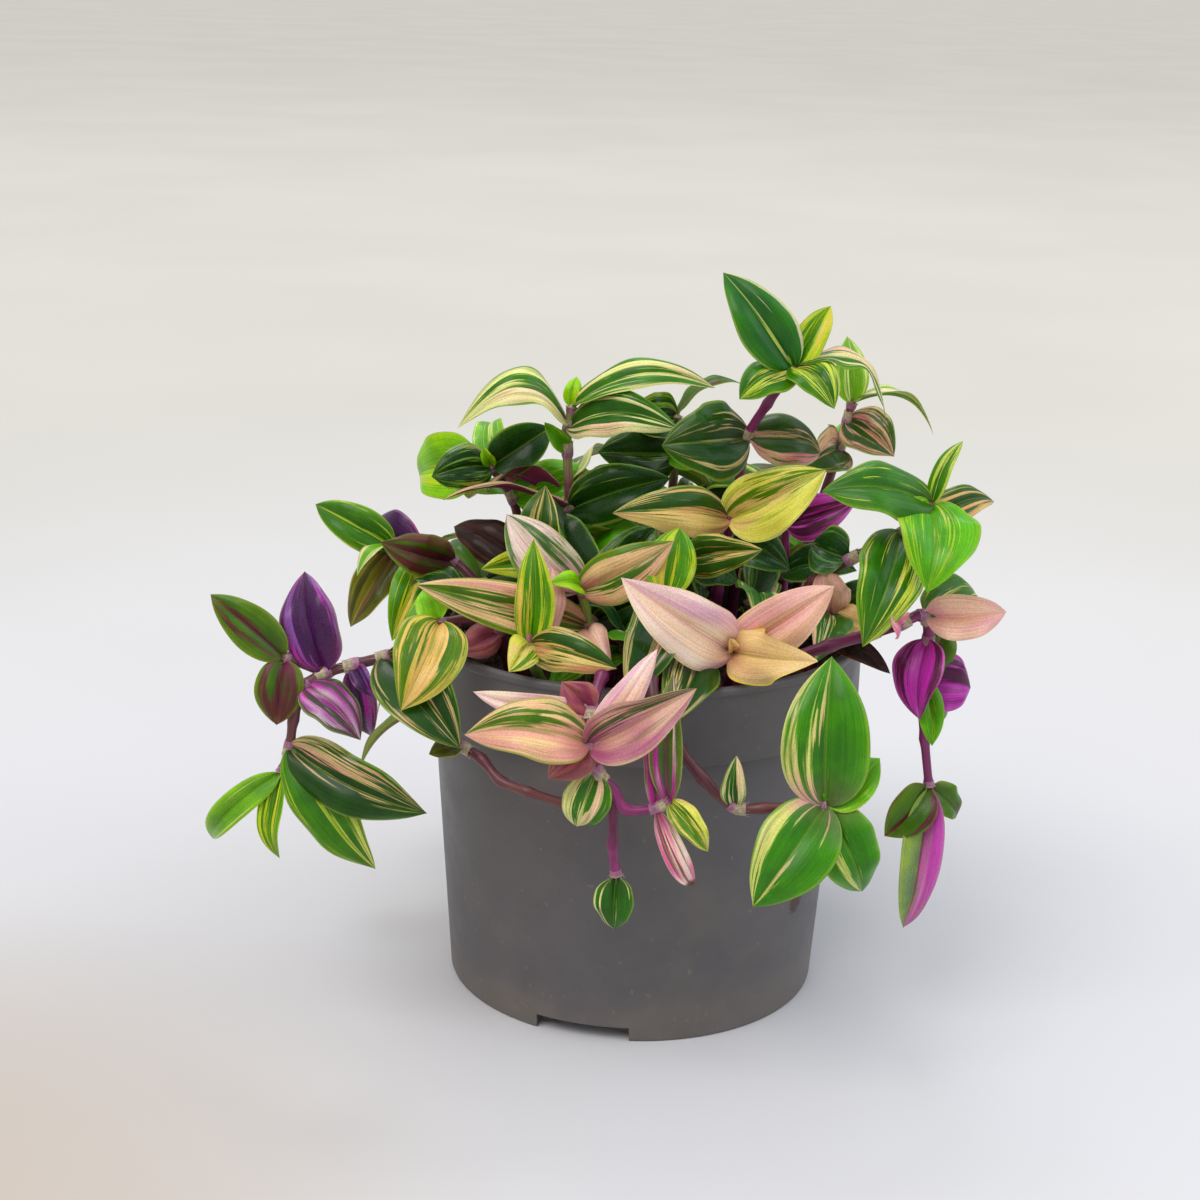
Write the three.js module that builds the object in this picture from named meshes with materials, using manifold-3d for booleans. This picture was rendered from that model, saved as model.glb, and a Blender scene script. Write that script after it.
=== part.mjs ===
// A potted tradescantia: a grey plastic nursery pot, its soil, and leafy shoots that stand and trail.
// Millimetres, +Z up. The origin is the centre of the pot's underside, +X is to the right in front view
// and +Y points away from the viewer.
import * as THREE from "three";
import { mergeVertices } from "three/addons/utils/BufferGeometryUtils.js";
import Module from "manifold-3d";

const wasm = await Module();
wasm.setup();

// Pot
const RIM_RADIUS = 60;
const POT_HEIGHT = 99.5;
const FOOT_RADIUS = 50.2;
const WALL = 1.6;
const BAND_BOTTOM = 78.7;
const BAND_STEP = 3.2;
const BAND_SLOPE = 0.8;
const LIP_DROP = 2.4;
const LIP_PROUD = 0.8;
const LIP_SLOPE = 0.6;
const LIP_EDGE = 0.5;
const FLOOR_UNDERSIDE = 4;
const FOOT_WIDTH = 4.5;
const PAD_RADIUS = 15;
const PAD_SLOPE = 3;
const NOTCH_WIDTH = 25;
const NOTCH_HEIGHT = 3.95;
const NOTCH_COUNT = 3;
const NOTCH_ANGLE = THREE.MathUtils.degToRad(-104);
const HOLE_RADIUS = 3.5;
const HOLE_RING = 30;
const HOLE_COUNT = 3;
const HOLE_SIDES = 5;
const POT_SIDES = 24;

// Soil
const CLEARANCE = 0.3;
const SOIL_GAP = 0.8;
const SOIL_TOP = 90.5;
const SOIL_CROWN = 2;
const SOIL_SHOULDER = 0.72;
const SOIL_SIDES = 28;
const ROOT_DEPTH = 14;
const ROOT_NECK = 1;
const SOCKET_DEPTH = 15;
const SOCKET_GAP = 0.4;

// Stems and blades
const STEM_SIDES = 5;
const STEM_ROOT_RADIUS = 1.9;
const SIDE_STEM_RADIUS = 1.4;
const STEM_TIP_RADIUS = 1.2;
const STEM_BUD = 1.6;
const EDGE_THICKNESS = 0.6;
const RIB_THICKNESS = 1.1;
const BLADE_STATIONS = [
  { longest: 23, at: [0.24, 0.68] },
  { longest: 31, at: [0.11, 0.4, 0.76] },
  { longest: Infinity, at: [0.09, 0.3, 0.56, 0.82] },
];
const BASE_POWER = 0.7;
const TIP_POWER = 0.9;
const WIDEST = BASE_POWER / (BASE_POWER + TIP_POWER);
const WIDEST_VALUE = WIDEST ** BASE_POWER * (1 - WIDEST) ** TIP_POWER;
const FOLD = THREE.MathUtils.degToRad(16);
const FOLD_POWER = 1.3;
const FREE_BLADE_START = 0.3;

// Directions that the upper side of a blade can face
const FRONT = [0, -3, 1];
const SKY = [0, 0, 1];
const SLOPE = [0, -1, 1];
const HIGH = [0, -1, 2];
const LEFT_FRONT = [-2, -3, 1];
const RIGHT_FRONT = [2, -3, 1];

// How far a blade may turn to pass its neighbours: lift and swing in degrees, and a change of length
const BEND_SIZES = [1, 0.88, 0.76];
const BEND_TURNS = [7, 14, 22, 31];
const BEND_WAYS = [[1, 0], [-1, 0], [0, 1], [0, -1], [0.7, 0.7], [0.7, -0.7], [-0.7, 0.7], [-0.7, -0.7]];
const BENDS = [[0, 0, 1]];
for (const size of BEND_SIZES) {
  for (const turn of BEND_TURNS) {
    for (const [lift, swing] of BEND_WAYS) {
      BENDS.push([lift * turn, swing * turn, size]);
    }
  }
}

// The shoots that show in front view, placed by hand.
// points: [x, y, z] of the stem's joints, the first one in the soil; stems: runs through those points;
// leaves: [joint, tip x, y, z, width, facing, arch].
const SHOOTS = [
  {
    name: "shoot_crown_right",
    colour: "green",
    points: [[24, 6, 0], [25, 4, 112], [25, 2, 143], [26, 0, 150], [31, -4, 160], [37, -8, 170]],
    leaves: [
      [5, 19, -8, 194, 15, FRONT, 0.08],
      [5, 63, -6, 162, 13, SKY, 0.25],
      [5, 23, -16, 167, 13, HIGH, 0.1],
      [5, 47, -20, 163, 13, HIGH, 0.2],
      [5, 46, -4, 186, 9, FRONT, 0.05],
      [3, 6, -14, 151, 20, FRONT, 0.08],
      [3, 48, 8, 147, 15, SLOPE, 0.1],
    ],
  },
  {
    name: "shoot_crown_rear_right",
    colour: "green",
    points: [[42, 24, 0], [45, 26, 112], [53, 28, 141], [55, 30, 149], [56, 30, 154]],
    leaves: [
      [4, 54, 32, 172, 9, FRONT, 0.1],
      [4, 79, 28, 147, 9, SKY, 0.25],
      [2, 45, 14, 141, 14, FRONT, 0.1],
      [3, 67, 20, 142, 14, FRONT, 0.1],
      [2, 70, 44, 140, 13, SKY, 0.15],
      [1, 34, 46, 124, 14, SKY, 0.15],
    ],
  },
  {
    name: "shoot_reach_right",
    colour: "green",
    points: [[34, -14, 0], [39, -18, 106], [44, -20, 117], [53, -22, 124], [65, -25, 132], [72, -27, 140]],
    leaves: [
      [5, 44, -34, 145, 18, SLOPE, 0.12],
      [5, 70, -48, 126, 20, FRONT, 0.08],
      [4, 56, -50, 113, 17, FRONT, 0.1],
      [5, 79, -22, 156, 5, LEFT_FRONT, 0.15],
      [4, 92, -8, 140, 10, SLOPE, 0.1],
      [3, 43, -14, 126, 13, FRONT, 0.1],
    ],
  },
  {
    name: "shoot_trail_right",
    colour: "purple",
    points: [
      [26, -30, 0], [30, -34, 97], [37, -42, 103], [47, -42, 107], [57, -38, 109], [65, -35, 111],
      [71, -33, 113], [73, -31, 106], [72, -30, 95], [74, -30, 79], [76, -30, 66],
    ],
    leaves: [
      [6, 92, -34, 115, 12, FRONT, 0.05],
      [6, 88, -18, 117, 11, SLOPE, 0.1],
      [5, 62, -46, 116, 7, FRONT, 0.1],
      [7, 70, -40, 88, 12, LEFT_FRONT, 0.12],
      [8, 79, -24, 109, 10, FRONT, 0.1],
      [8, 86, -27, 92, 12, FRONT, 0.12],
      [8, 75, -38, 80, 7, FRONT, 0.1],
      [8, 83, -20, 82, 8, FRONT, 0.1],
      [10, 65, -34, 53, 12, FRONT, 0.12],
      [10, 72, -36, 26, 11, FRONT, 0.06],
      [10, 85, -24, 55, 8, RIGHT_FRONT, 0.15],
    ],
  },
  {
    name: "shoot_trail_front_right",
    colour: "green",
    points: [
      [4, -42, 0], [4, -49, 101], [3, -60, 103], [5, -66, 95], [10, -67, 88], [16, -68, 81], [24, -69, 74],
      [31, -69, 74], [46, -68, 75],
    ],
    leaves: [
      [8, 46, -66, 111, 21, FRONT, 0.08],
      [8, 29, -82, 54, 19, FRONT, 0.12],
      [8, 57, -70, 52, 15, FRONT, 0.15],
      [8, 59, -64, 86, 10, FRONT, 0.05],
      [6, 24, -71, 87, 6, FRONT, 0.1],
    ],
  },
  {
    name: "shoot_front_pink",
    colour: "pink",
    points: [[22, -36, 0], [23, -40, 98], [23, -46, 106]],
    leaves: [
      [2, -3, -60, 127, 18, FRONT, 0.12],
      [2, 46, -52, 125, 15, FRONT, 0.1],
      [2, 39, -66, 111, 14, FRONT, 0.08],
      [2, 22, -53, 111, 4, FRONT, 0.1],
    ],
  },
  {
    name: "shoot_front_fall",
    colour: "green",
    points: [[9, -32, 0], [11, -36, 98], [13, -41, 103], [6, -41, 118]],
    leaves: [
      [2, 15, -72, 97, 14, FRONT, 0.12],
      [3, 1, -66, 103, 14, FRONT, 0.2],
      [3, 9, -33, 134, 13, FRONT, 0.08],
    ],
  },
  {
    name: "shoot_crown_left",
    colour: "green",
    points: [[-20, 8, 0], [-20, 8, 113], [-20, 8, 127], [-21, 8, 143], [-21, 8, 149], [-20, 8, 155]],
    leaves: [
      [4, -49, 0, 153, 14, HIGH, 0.4],
      [5, 17, 4, 164, 11, HIGH, 0.18],
      [4, 7, -6, 155, 14, SLOPE, 0.15],
      [2, -52, -6, 136, 11, SKY, 0.08],
      [5, -19, 10, 163, 5, FRONT, 0.1],
      [3, -27, 6, 151, 5, FRONT, 0.1],
    ],
  },
  {
    name: "shoot_left_upper",
    colour: "green",
    points: [[-32, 18, 0], [-33, 18, 112], [-36, 18, 127], [-42, 17, 136]],
    leaves: [
      [3, -66, 30, 130, 18, FRONT, 0.08],
      [3, -57, 8, 135, 13, FRONT, 0.1],
      [3, -26, 20, 147, 13, FRONT, 0.12],
      [3, -43, 36, 147, 9, FRONT, 0.1],
      [3, -44, 15, 142, 4, FRONT, 0.1],
      [2, -50, 38, 124, 13, SKY, 0.15],
    ],
  },
  {
    name: "shoot_left_mid",
    colour: "green",
    points: [[-40, 2, 0], [-43, 2, 105], [-51, 6, 112], [-60, 8, 111], [-67, 10, 114]],
    leaves: [
      [4, -90, 14, 125, 12, FRONT, 0.1],
      [2, -68, -6, 120, 12, FRONT, 0.12],
      [3, -75, 22, 121, 12, FRONT, 0.1],
      [4, -79, 2, 94, 11, FRONT, 0.12],
      [3, -66, -8, 95, 11, FRONT, 0.15],
      [4, -76, -4, 112, 6, SKY, 0.15],
    ],
  },
  {
    name: "shoot_trail_left",
    colour: "purple",
    points: [
      [-30, -24, 0], [-35, -29, 99], [-44, -38, 103], [-63, -44, 101], [-71, -45, 99], [-78, -46, 97],
      [-88, -47, 101], [-83, -48, 94], [-86, -48, 85], [-87, -48, 78], [-89, -48, 71],
      [-57, -49, 89], [-43, -55, 82], [-38, -58, 80], [-33, -62, 76], [-26, -66, 75], [-17, -68, 73],
    ],
    stems: [[0, 1, 2, 3, 4, 5, 7, 8, 9, 10], [5, 6], [3, 11, 12, 13, 14, 15, 16]],
    leaves: [
      [3, -43, -64, 85, 18, FRONT, 0.12],
      [9, -52, -60, 66, 15, FRONT, 0.12],
      [9, -65, -58, 49, 14, FRONT, 0.1],
      [10, -111, -44, 48, 8, FRONT, 0.15],
      [10, -94, -54, 49, 7, LEFT_FRONT, 0.1],
      [6, -106, -48, 117, 11, FRONT, 0.08],
      [5, -85, -38, 121, 15, FRONT, 0.1],
      [6, -90, -50, 84, 12, FRONT, 0.15],
      [7, -68, -57, 84, 12, SLOPE, 0.15],
      [4, -68, -40, 77, 8, FRONT, 0.1],
      [4, -66, -51, 93, 5, FRONT, 0.1],
      [12, -51, -58, 81, 6, SLOPE, 0.1],
    ],
  },
  {
    name: "shoot_rim_left",
    colour: "yellow",
    points: [[-33, -31, 0], [-36, -35, 106], [-43, -39, 110], [-50, -43, 110]],
    leaves: [
      [3, -57, -64, 95, 18, FRONT, 0.15],
      [3, -55, -38, 117, 8, FRONT, 0.1],
      [1, -45, -46, 104, 9, FRONT, 0.1],
    ],
  },
  {
    name: "shoot_centre_low",
    colour: "yellow",
    points: [[-24, -38, 0], [-26, -42, 99], [-27, -46, 106]],
    leaves: [
      [2, -27, -46, 132, 10, FRONT, 0.06],
      [2, -22, -38, 124, 11, RIGHT_FRONT, 0.08],
      [2, -7, -61, 106, 11, FRONT, 0.1],
      [2, -31, -59, 104, 9, FRONT, 0.1],
    ],
  },
  {
    name: "shoot_centre_pink",
    colour: "pink",
    points: [[-12, -26, 0], [-13, -31, 106], [-15, -35, 117]],
    leaves: [
      [2, -35, -28, 135, 14, FRONT, 0.08],
      [2, 6, -42, 132, 13, FRONT, 0.08],
      [2, -22, -44, 122, 7, SLOPE, 0.15],
      [1, -56, -47, 115, 13, FRONT, 0.12],
      [1, -9, -50, 106, 9, FRONT, 0.12],
    ],
  },
  {
    name: "shoot_inner_left",
    colour: "green",
    points: [[-27, -10, 0], [-28, -12, 104], [-29, -14, 117]],
    leaves: [
      [2, -26, -14, 138, 12, FRONT, 0.08],
      [2, -38, -30, 121, 9, FRONT, 0.1],
      [2, -50, -6, 127, 12, SLOPE, 0.15],
      [1, -41, -32, 109, 10, SLOPE, 0.1],
    ],
  },
  {
    name: "shoot_inner_dark",
    colour: "green",
    points: [[-10, -14, 0], [-12, -18, 104], [-13, -19, 113]],
    leaves: [
      [2, -25, -7, 136, 9, RIGHT_FRONT, 0.05],
      [2, 4, -8, 128, 13, FRONT, 0.1],
      [1, 6, -26, 116, 12, FRONT, 0.1],
    ],
  },
  {
    name: "shoot_inner_yellow",
    colour: "yellow",
    points: [[20, -6, 0], [20, -7, 110], [22, -8, 124], [22, -12, 131]],
    leaves: [
      [3, -6, -28, 136, 13, FRONT, 0.12],
      [3, 44, -24, 147, 17, FRONT, 0.08],
      [2, 38, -16, 120, 12, SLOPE, 0.12],
      [2, 3, 4, 132, 13, SLOPE, 0.12],
    ],
  },
  {
    name: "shoot_inner_right",
    colour: "green",
    points: [[10, -18, 0], [10, -20, 110], [11, -22, 122]],
    leaves: [
      [2, 29, -38, 130, 11, FRONT, 0.12],
      [2, 25, -22, 118, 12, SLOPE, 0.12],
      [2, 0, -34, 124, 9, FRONT, 0.1],
    ],
  },
  {
    name: "shoot_inner_magenta",
    colour: "purple",
    points: [[38, 6, 0], [38, 5, 112], [38, 4, 126]],
    leaves: [
      [2, 55, -4, 135, 12, FRONT, 0.12],
      [1, 56, -6, 117, 12, SLOPE, 0.12],
      [2, 28, 22, 134, 12, SKY, 0.15],
    ],
  },
  {
    name: "shoot_front_low",
    colour: "pink",
    points: [
      [-7, -44, 0], [-8, -50, 101], [-9, -60, 103], [-11, -73, 99], [-11, -78, 92], [-9, -79, 86],
      [-5, -79, 81], [-2, -80, 77], [5, -81, 78], [8, -81, 80], [-5, -76, 66], [-4, -75, 58],
    ],
    stems: [[0, 1, 2, 3, 4, 5, 6, 7, 8, 9], [6, 10, 11]],
    leaves: [
      [4, -39, -84, 98, 15, SLOPE, 0.2],
      [4, 11, -88, 109, 14, FRONT, 0.1],
      [4, 3, -82, 116, 8, FRONT, 0.15],
      [9, 8, -80, 110, 8, FRONT, 0.08],
      [8, 2, -78, 97, 5, FRONT, 0.05],
      [9, 18, -86, 70, 7, SLOPE, 0.15],
      [8, 15, -78, 56, 6, FRONT, 0.2],
      [4, -20, -84, 86, 10, FRONT, 0.15],
      [3, -18, -74, 106, 9, FRONT, 0.12],
      [5, -14, -78, 70, 11, FRONT, 0.12],
      [11, -4, -75, 43, 10, FRONT, 0.08],
      [3, -39, -74, 103, 7, FRONT, 0.1],
    ],
  },
  {
    name: "shoot_rim_right",
    colour: "green",
    points: [[45, -14, 0], [47, -17, 101], [49, -19, 108]],
    leaves: [
      [2, 45, -40, 104, 11, FRONT, 0.12],
      [2, 62, -24, 104, 9, FRONT, 0.12],
      [2, 46, -22, 122, 10, FRONT, 0.1],
      [1, 62, -10, 116, 9, SLOPE, 0.12],
      [1, 64, -16, 90, 6, RIGHT_FRONT, 0.35],
    ],
  },
  {
    name: "shoot_rim_far_left",
    colour: "green",
    points: [[-46, -14, 0], [-48, -15, 101], [-48, -16, 109]],
    leaves: [
      [2, -62, -4, 109, 11, HIGH, 0.12],
      [2, -36, -36, 113, 11, HIGH, 0.12],
      [2, -60, -28, 107, 10, HIGH, 0.12],
      [1, -32, 2, 106, 11, HIGH, 0.12],
    ],
  },
  {
    name: "shoot_rear_centre",
    colour: "green",
    points: [[6, 22, 0], [7, 23, 116], [8, 24, 140], [8, 24, 150]],
    leaves: [
      [3, 27, 30, 160, 8, SKY, 0.2],
      [3, -5, 18, 150, 13, FRONT, 0.12],
      [2, 22, 12, 138, 14, SLOPE, 0.12],
      [2, 2, 42, 136, 13, SKY, 0.15],
      [1, -10, 26, 128, 13, SLOPE, 0.12],
    ],
  },
];

const COLOURS = {
  green: { color: 0x4f8f2c, roughness: 0.45 },
  yellow: { color: 0xb9b84e, roughness: 0.5 },
  pink: { color: 0xd69a8c, roughness: 0.5 },
  purple: { color: 0x7c3a6b, roughness: 0.5 },
};

// Further shoots, by a rule: some spill over the rim behind, some stand behind the heart of the plant, and
// low ones cover the soil. Each kind has a seed, a number of tries, and the fewest leaves a shoot may keep.
const FILLS = [
  { kind: "spill", seed: 25926, tries: 3, leastLeaves: 4 },
  { kind: "rear", seed: 20923, tries: 30, leastLeaves: 4 },
  { kind: "low", seed: 15920, tries: 34, leastLeaves: 3 },
];
const SEED_STEP = 37;
const MOST_SHOOTS = 56;

// The foliage of those shoots keeps under a dome, and low in front, where the shoots above show.
const DOME_REACH = 99;
const DOME_BASE = 104;
const DOME_SLOPE = 1.1;
const DOME_TOP = 146;
const FRONT_LIMIT = -8;
const FRONT_TOP = 112;
const FRONT_REACH = 54;

// A spilling stem: reach from the axis, height, and share of the drop at each of its joints
const SPILL_PATH = [[49, 101, 0], [60, 105, 0], [69, 102, 0], [74, 92, 0], [75, 86, 1], [74, 78, 1.8]];
const SPILL_ROOT_REACH = 46;
const SPILL_FIRST_TURN = THREE.MathUtils.degToRad(66);
const SPILL_TURN_STEP = THREE.MathUtils.degToRad(31);
const SPILL_DROP = [8, 28];
const SPILL_DRIFT = [-0.15, 0.15];
const SPILL_SWAY = 0.02;

// A standing stem: where it roots, how far it leans out, and how tall it is
const GOLDEN_RATIO = 0.618;
const GOLDEN_ANGLE = Math.PI * (3 - Math.sqrt(5));
const REAR_FIRST_TURN = THREE.MathUtils.degToRad(20);
const REAR_TURN_SPAN = THREE.MathUtils.degToRad(140);
const REAR_REACH = [14, 42];
const REAR_LEAN = [0, 0.5];
const REAR_HEIGHT = [26, 40];
const LOW_REACH = 50;
const LOW_SPREAD = 40;
const LOW_LEAN = [0, 0.3];
const LOW_HEIGHT = [9, 21];
const STANDING_BASE = 94;
const STANDING_SWAY = [-0.06, 0.06];
const TALL_STEM = 26;
const LEAN_AT_BASE = 0.35;

// The leaves of the filling
const TIP_LEAVES = 3;
const LEAF_SIDE = [0.5, 1.4];
const LEAF_LENGTH = [20, 31];
const LEAF_RISE = [-0.3, 0.3];
const LEAF_WIDTH = [11, 16];
const LEAF_ARCH = [0.1, 0.2];
const STANDING_RISE = 0.15;
const HANGING_RISE = -0.8;
const STANDING_FACE = 1.6;
const HANGING_FACE = 0.8;

// A repeatable row of draws from 0 to 1
function drawer(seed) {
  let state = seed;
  return () => {
    state = (16807 * state) % 2147483647;
    return state / 2147483647;
  };
}

function between([low, high], draw) {
  return low + (high - low) * draw();
}

function underDome(x, y, z) {
  const reach = Math.hypot(x, y);
  const low = y > FRONT_LIMIT || (z < FRONT_TOP && reach < FRONT_REACH);
  return low && z < DOME_TOP && reach < DOME_REACH - DOME_SLOPE * Math.max(0, z - DOME_BASE);
}

// The joints of a stem that climbs over the rim and hangs down outside the pot
function spillJoints(turn, draw) {
  const drop = between(SPILL_DROP, draw);
  const drift = between(SPILL_DRIFT, draw);
  return SPILL_PATH.map(([reach, height, share], k) => {
    const along = k / (SPILL_PATH.length - 1);
    const sway = turn + drift * along ** 2 + (k % 2 ? SPILL_SWAY : -SPILL_SWAY);
    return [reach * Math.cos(sway), reach * Math.sin(sway), height - share * drop];
  });
}

// The joints of a stem that stands and leans outward
function standingJoints(turn, start, lean, height, draw) {
  const joints = [];
  const count = height > TALL_STEM ? 3 : 2;
  for (let k = 1; k <= count; k += 1) {
    const along = k / count;
    const reach = start + lean * height * along * (LEAN_AT_BASE + (1 - LEAN_AT_BASE) * along);
    const sway = turn + between(STANDING_SWAY, draw);
    joints.push([reach * Math.cos(sway), reach * Math.sin(sway), STANDING_BASE + height * along]);
  }
  return joints;
}

// Where a shoot of the filling turns to, how far from the axis it roots, and its joints
function fillStem(kind, number, draw) {
  if (kind === "spill") {
    const turn = SPILL_FIRST_TURN + SPILL_TURN_STEP * number;
    return { turn, start: SPILL_ROOT_REACH, joints: spillJoints(turn, draw) };
  }
  const rear = kind === "rear";
  const rearTurn = REAR_FIRST_TURN + REAR_TURN_SPAN * ((number * GOLDEN_RATIO) % 1);
  const turn = rear ? rearTurn : number * GOLDEN_ANGLE;
  const lowReach = LOW_REACH * Math.sqrt(((number % LOW_SPREAD) + 0.5) / LOW_SPREAD);
  const start = rear ? between(REAR_REACH, draw) : lowReach;
  const lean = between(rear ? REAR_LEAN : LOW_LEAN, draw);
  const height = between(rear ? REAR_HEIGHT : LOW_HEIGHT, draw);
  return { turn, start, joints: standingJoints(turn, start, lean, height, draw) };
}

// One shoot of the filling: a stem with a leaf at each joint and more about its tip
function fillShoot(kind, seed, number) {
  const draw = drawer(seed + SEED_STEP * number);
  const { turn, start, joints } = fillStem(kind, number, draw);
  const hanging = kind === "spill";
  const last = joints.length;
  const leaves = [];
  for (let k = 0; k < last + TIP_LEAVES; k += 1) {
    const past = Math.max(0, k - last);
    const joint = k < last ? k + 1 : last - (hanging ? past : 0);
    const [x, y, z] = joints[joint - 1];
    const back = past > 0 && !hanging ? Math.PI : 0;
    const side = (k % 2 ? 1 : -1) * between(LEAF_SIDE, draw) + back;
    const length = between(LEAF_LENGTH, draw);
    const rise = (hanging && joint > 2 ? HANGING_RISE : STANDING_RISE) + between(LEAF_RISE, draw);
    const width = between(LEAF_WIDTH, draw);
    const arch = between(LEAF_ARCH, draw);
    const tip = [x + Math.cos(turn + side) * length, y + Math.sin(turn + side) * length, z + rise * length];
    const face = turn + side / 2;
    if (underDome(...tip)) {
      const facing = [Math.cos(face), Math.sin(face), hanging ? HANGING_FACE : STANDING_FACE];
      leaves.push([joint, ...tip, width, facing, arch]);
    }
  }
  const name = `shoot_${kind}_${String(number + 1).padStart(2, "0")}`;
  const points = [[start * Math.cos(turn), start * Math.sin(turn), 0], ...joints];
  return { name, colour: "green", points, leaves };
}

function vector(values) {
  return new THREE.Vector3(...values);
}

// A closed mesh from rings of points, with a point or a flat fan at each end
function loft(start, rings, end) {
  const positions = [];
  const faces = [];
  const sides = rings[0].length;
  const add = (p) => positions.push(p.x, p.y, p.z) / 3 - 1;
  const first = add(start);
  const rows = rings.map((ring) => ring.map(add));
  const last = add(end);
  for (let k = 0; k < sides; k += 1) {
    const next = (k + 1) % sides;
    faces.push(first, rows[0][next], rows[0][k]);
    for (let j = 0; j + 1 < rows.length; j += 1) {
      faces.push(rows[j][k], rows[j][next], rows[j + 1][next]);
      faces.push(rows[j][k], rows[j + 1][next], rows[j + 1][k]);
    }
    faces.push(last, rows.at(-1)[k], rows.at(-1)[next]);
  }
  const geometry = new THREE.BufferGeometry();
  geometry.setAttribute("position", new THREE.Float32BufferAttribute(positions, 3));
  geometry.setIndex(faces);
  return geometry;
}

function solid(geometry) {
  geometry.deleteAttribute("normal");
  geometry.deleteAttribute("uv");
  const merged = mergeVertices(geometry, 1e-4);
  return new wasm.Manifold(
    new wasm.Mesh({
      numProp: 3,
      vertProperties: new Float32Array(merged.getAttribute("position").array),
      triVerts: new Uint32Array(merged.getIndex().array),
    }),
  );
}

function meshOf(manifold) {
  const mesh = manifold.getMesh();
  const geometry = new THREE.BufferGeometry();
  geometry.setAttribute("position", new THREE.Float32BufferAttribute(Array.from(mesh.vertProperties), 3));
  geometry.setIndex(Array.from(mesh.triVerts));
  return geometry;
}

// The axes of a blade: along it, out of its upper side, and across it
function bladeAxes(base, tip, facing) {
  const along = tip.clone().sub(base).normalize();
  const out = vector(facing).normalize();
  out.addScaledVector(along, -out.dot(along)).normalize();
  return { along, out, across: new THREE.Vector3().crossVectors(along, out) };
}

function halfWidth(v, width) {
  return (width / 2) * (v ** BASE_POWER * (1 - v) ** TIP_POWER) / WIDEST_VALUE;
}

// A leaf blade, arched along its rib and folded up a little on both sides of it. With spare above 0 the
// blade is grown by that much all round, and from above 0 only the part beyond that share of it is made.
function bladeSolid(base, tip, width, facing, arch, spare = 0, from = 0) {
  const { along, out, across } = bladeAxes(base, tip, facing);
  const length = tip.distanceTo(base);
  const stations = BLADE_STATIONS.find(({ longest }) => length < longest).at;
  const rib = (v) => base.clone().lerp(tip, v).addScaledVector(out, arch * length * 4 * v * (1 - v));
  const section = (v) => {
    const reach = halfWidth(v, width) + spare;
    const side = (u, thickness, sign) => {
      const fold = Math.abs(u) ** FOLD_POWER * reach * Math.sin(FOLD);
      return rib(v)
        .addScaledVector(across, u * reach * Math.cos(FOLD))
        .addScaledVector(out, fold + sign * (thickness / 2 + spare));
    };
    return [
      side(-1, EDGE_THICKNESS, 1), side(0, RIB_THICKNESS, 1), side(1, EDGE_THICKNESS, 1),
      side(1, EDGE_THICKNESS, -1), side(0, RIB_THICKNESS, -1), side(-1, EDGE_THICKNESS, -1),
    ];
  };
  const used = stations.filter((v) => v > from);
  const start = from > 0 ? rib(from) : base;
  return solid(loft(start, used.map(section), tip.clone().addScaledVector(along, spare)));
}

// Where the tip of a blade comes when it is bent by one of BENDS
function bentTip(base, tip, facing, [lift, swing, size]) {
  const { along, out, across } = bladeAxes(base, tip, facing);
  const length = tip.distanceTo(base);
  return along
    .addScaledVector(out, Math.tan(THREE.MathUtils.degToRad(lift)))
    .addScaledVector(across, Math.tan(THREE.MathUtils.degToRad(swing)))
    .normalize()
    .multiplyScalar(length * size)
    .add(base);
}

// A five-sided stem through its joints, tapering from one radius to the other, with a pointed bud at its end
function stemSolid(points, startRadius, endRadius) {
  const rings = [];
  let normal = new THREE.Vector3(1, 0, 0);
  points.forEach((point, k) => {
    const before = point.clone().sub(points[Math.max(0, k - 1)]).normalize();
    const after = points[Math.min(points.length - 1, k + 1)].clone().sub(point).normalize();
    const along = before.add(after).normalize();
    normal = normal.clone().addScaledVector(along, -normal.dot(along)).normalize();
    const across = new THREE.Vector3().crossVectors(along, normal);
    const radius = THREE.MathUtils.lerp(startRadius, endRadius, k / (points.length - 1));
    const ring = [];
    for (let side = 0; side < STEM_SIDES; side += 1) {
      const angle = (side / STEM_SIDES) * 2 * Math.PI;
      ring.push(
        point.clone()
          .addScaledVector(normal, radius * Math.cos(angle))
          .addScaledVector(across, radius * Math.sin(angle)),
      );
    }
    rings.push(ring);
  });
  const last = points.at(-1);
  const ahead = last.clone().sub(points.at(-2)).normalize();
  return solid(loft(points[0], rings, last.clone().addScaledVector(ahead, STEM_BUD)));
}

// The outer radius of the tapering wall below the band
function wallAt(z) {
  return THREE.MathUtils.mapLinear(z, 0, POT_HEIGHT, FOOT_RADIUS, RIM_RADIUS - BAND_STEP);
}

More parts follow.
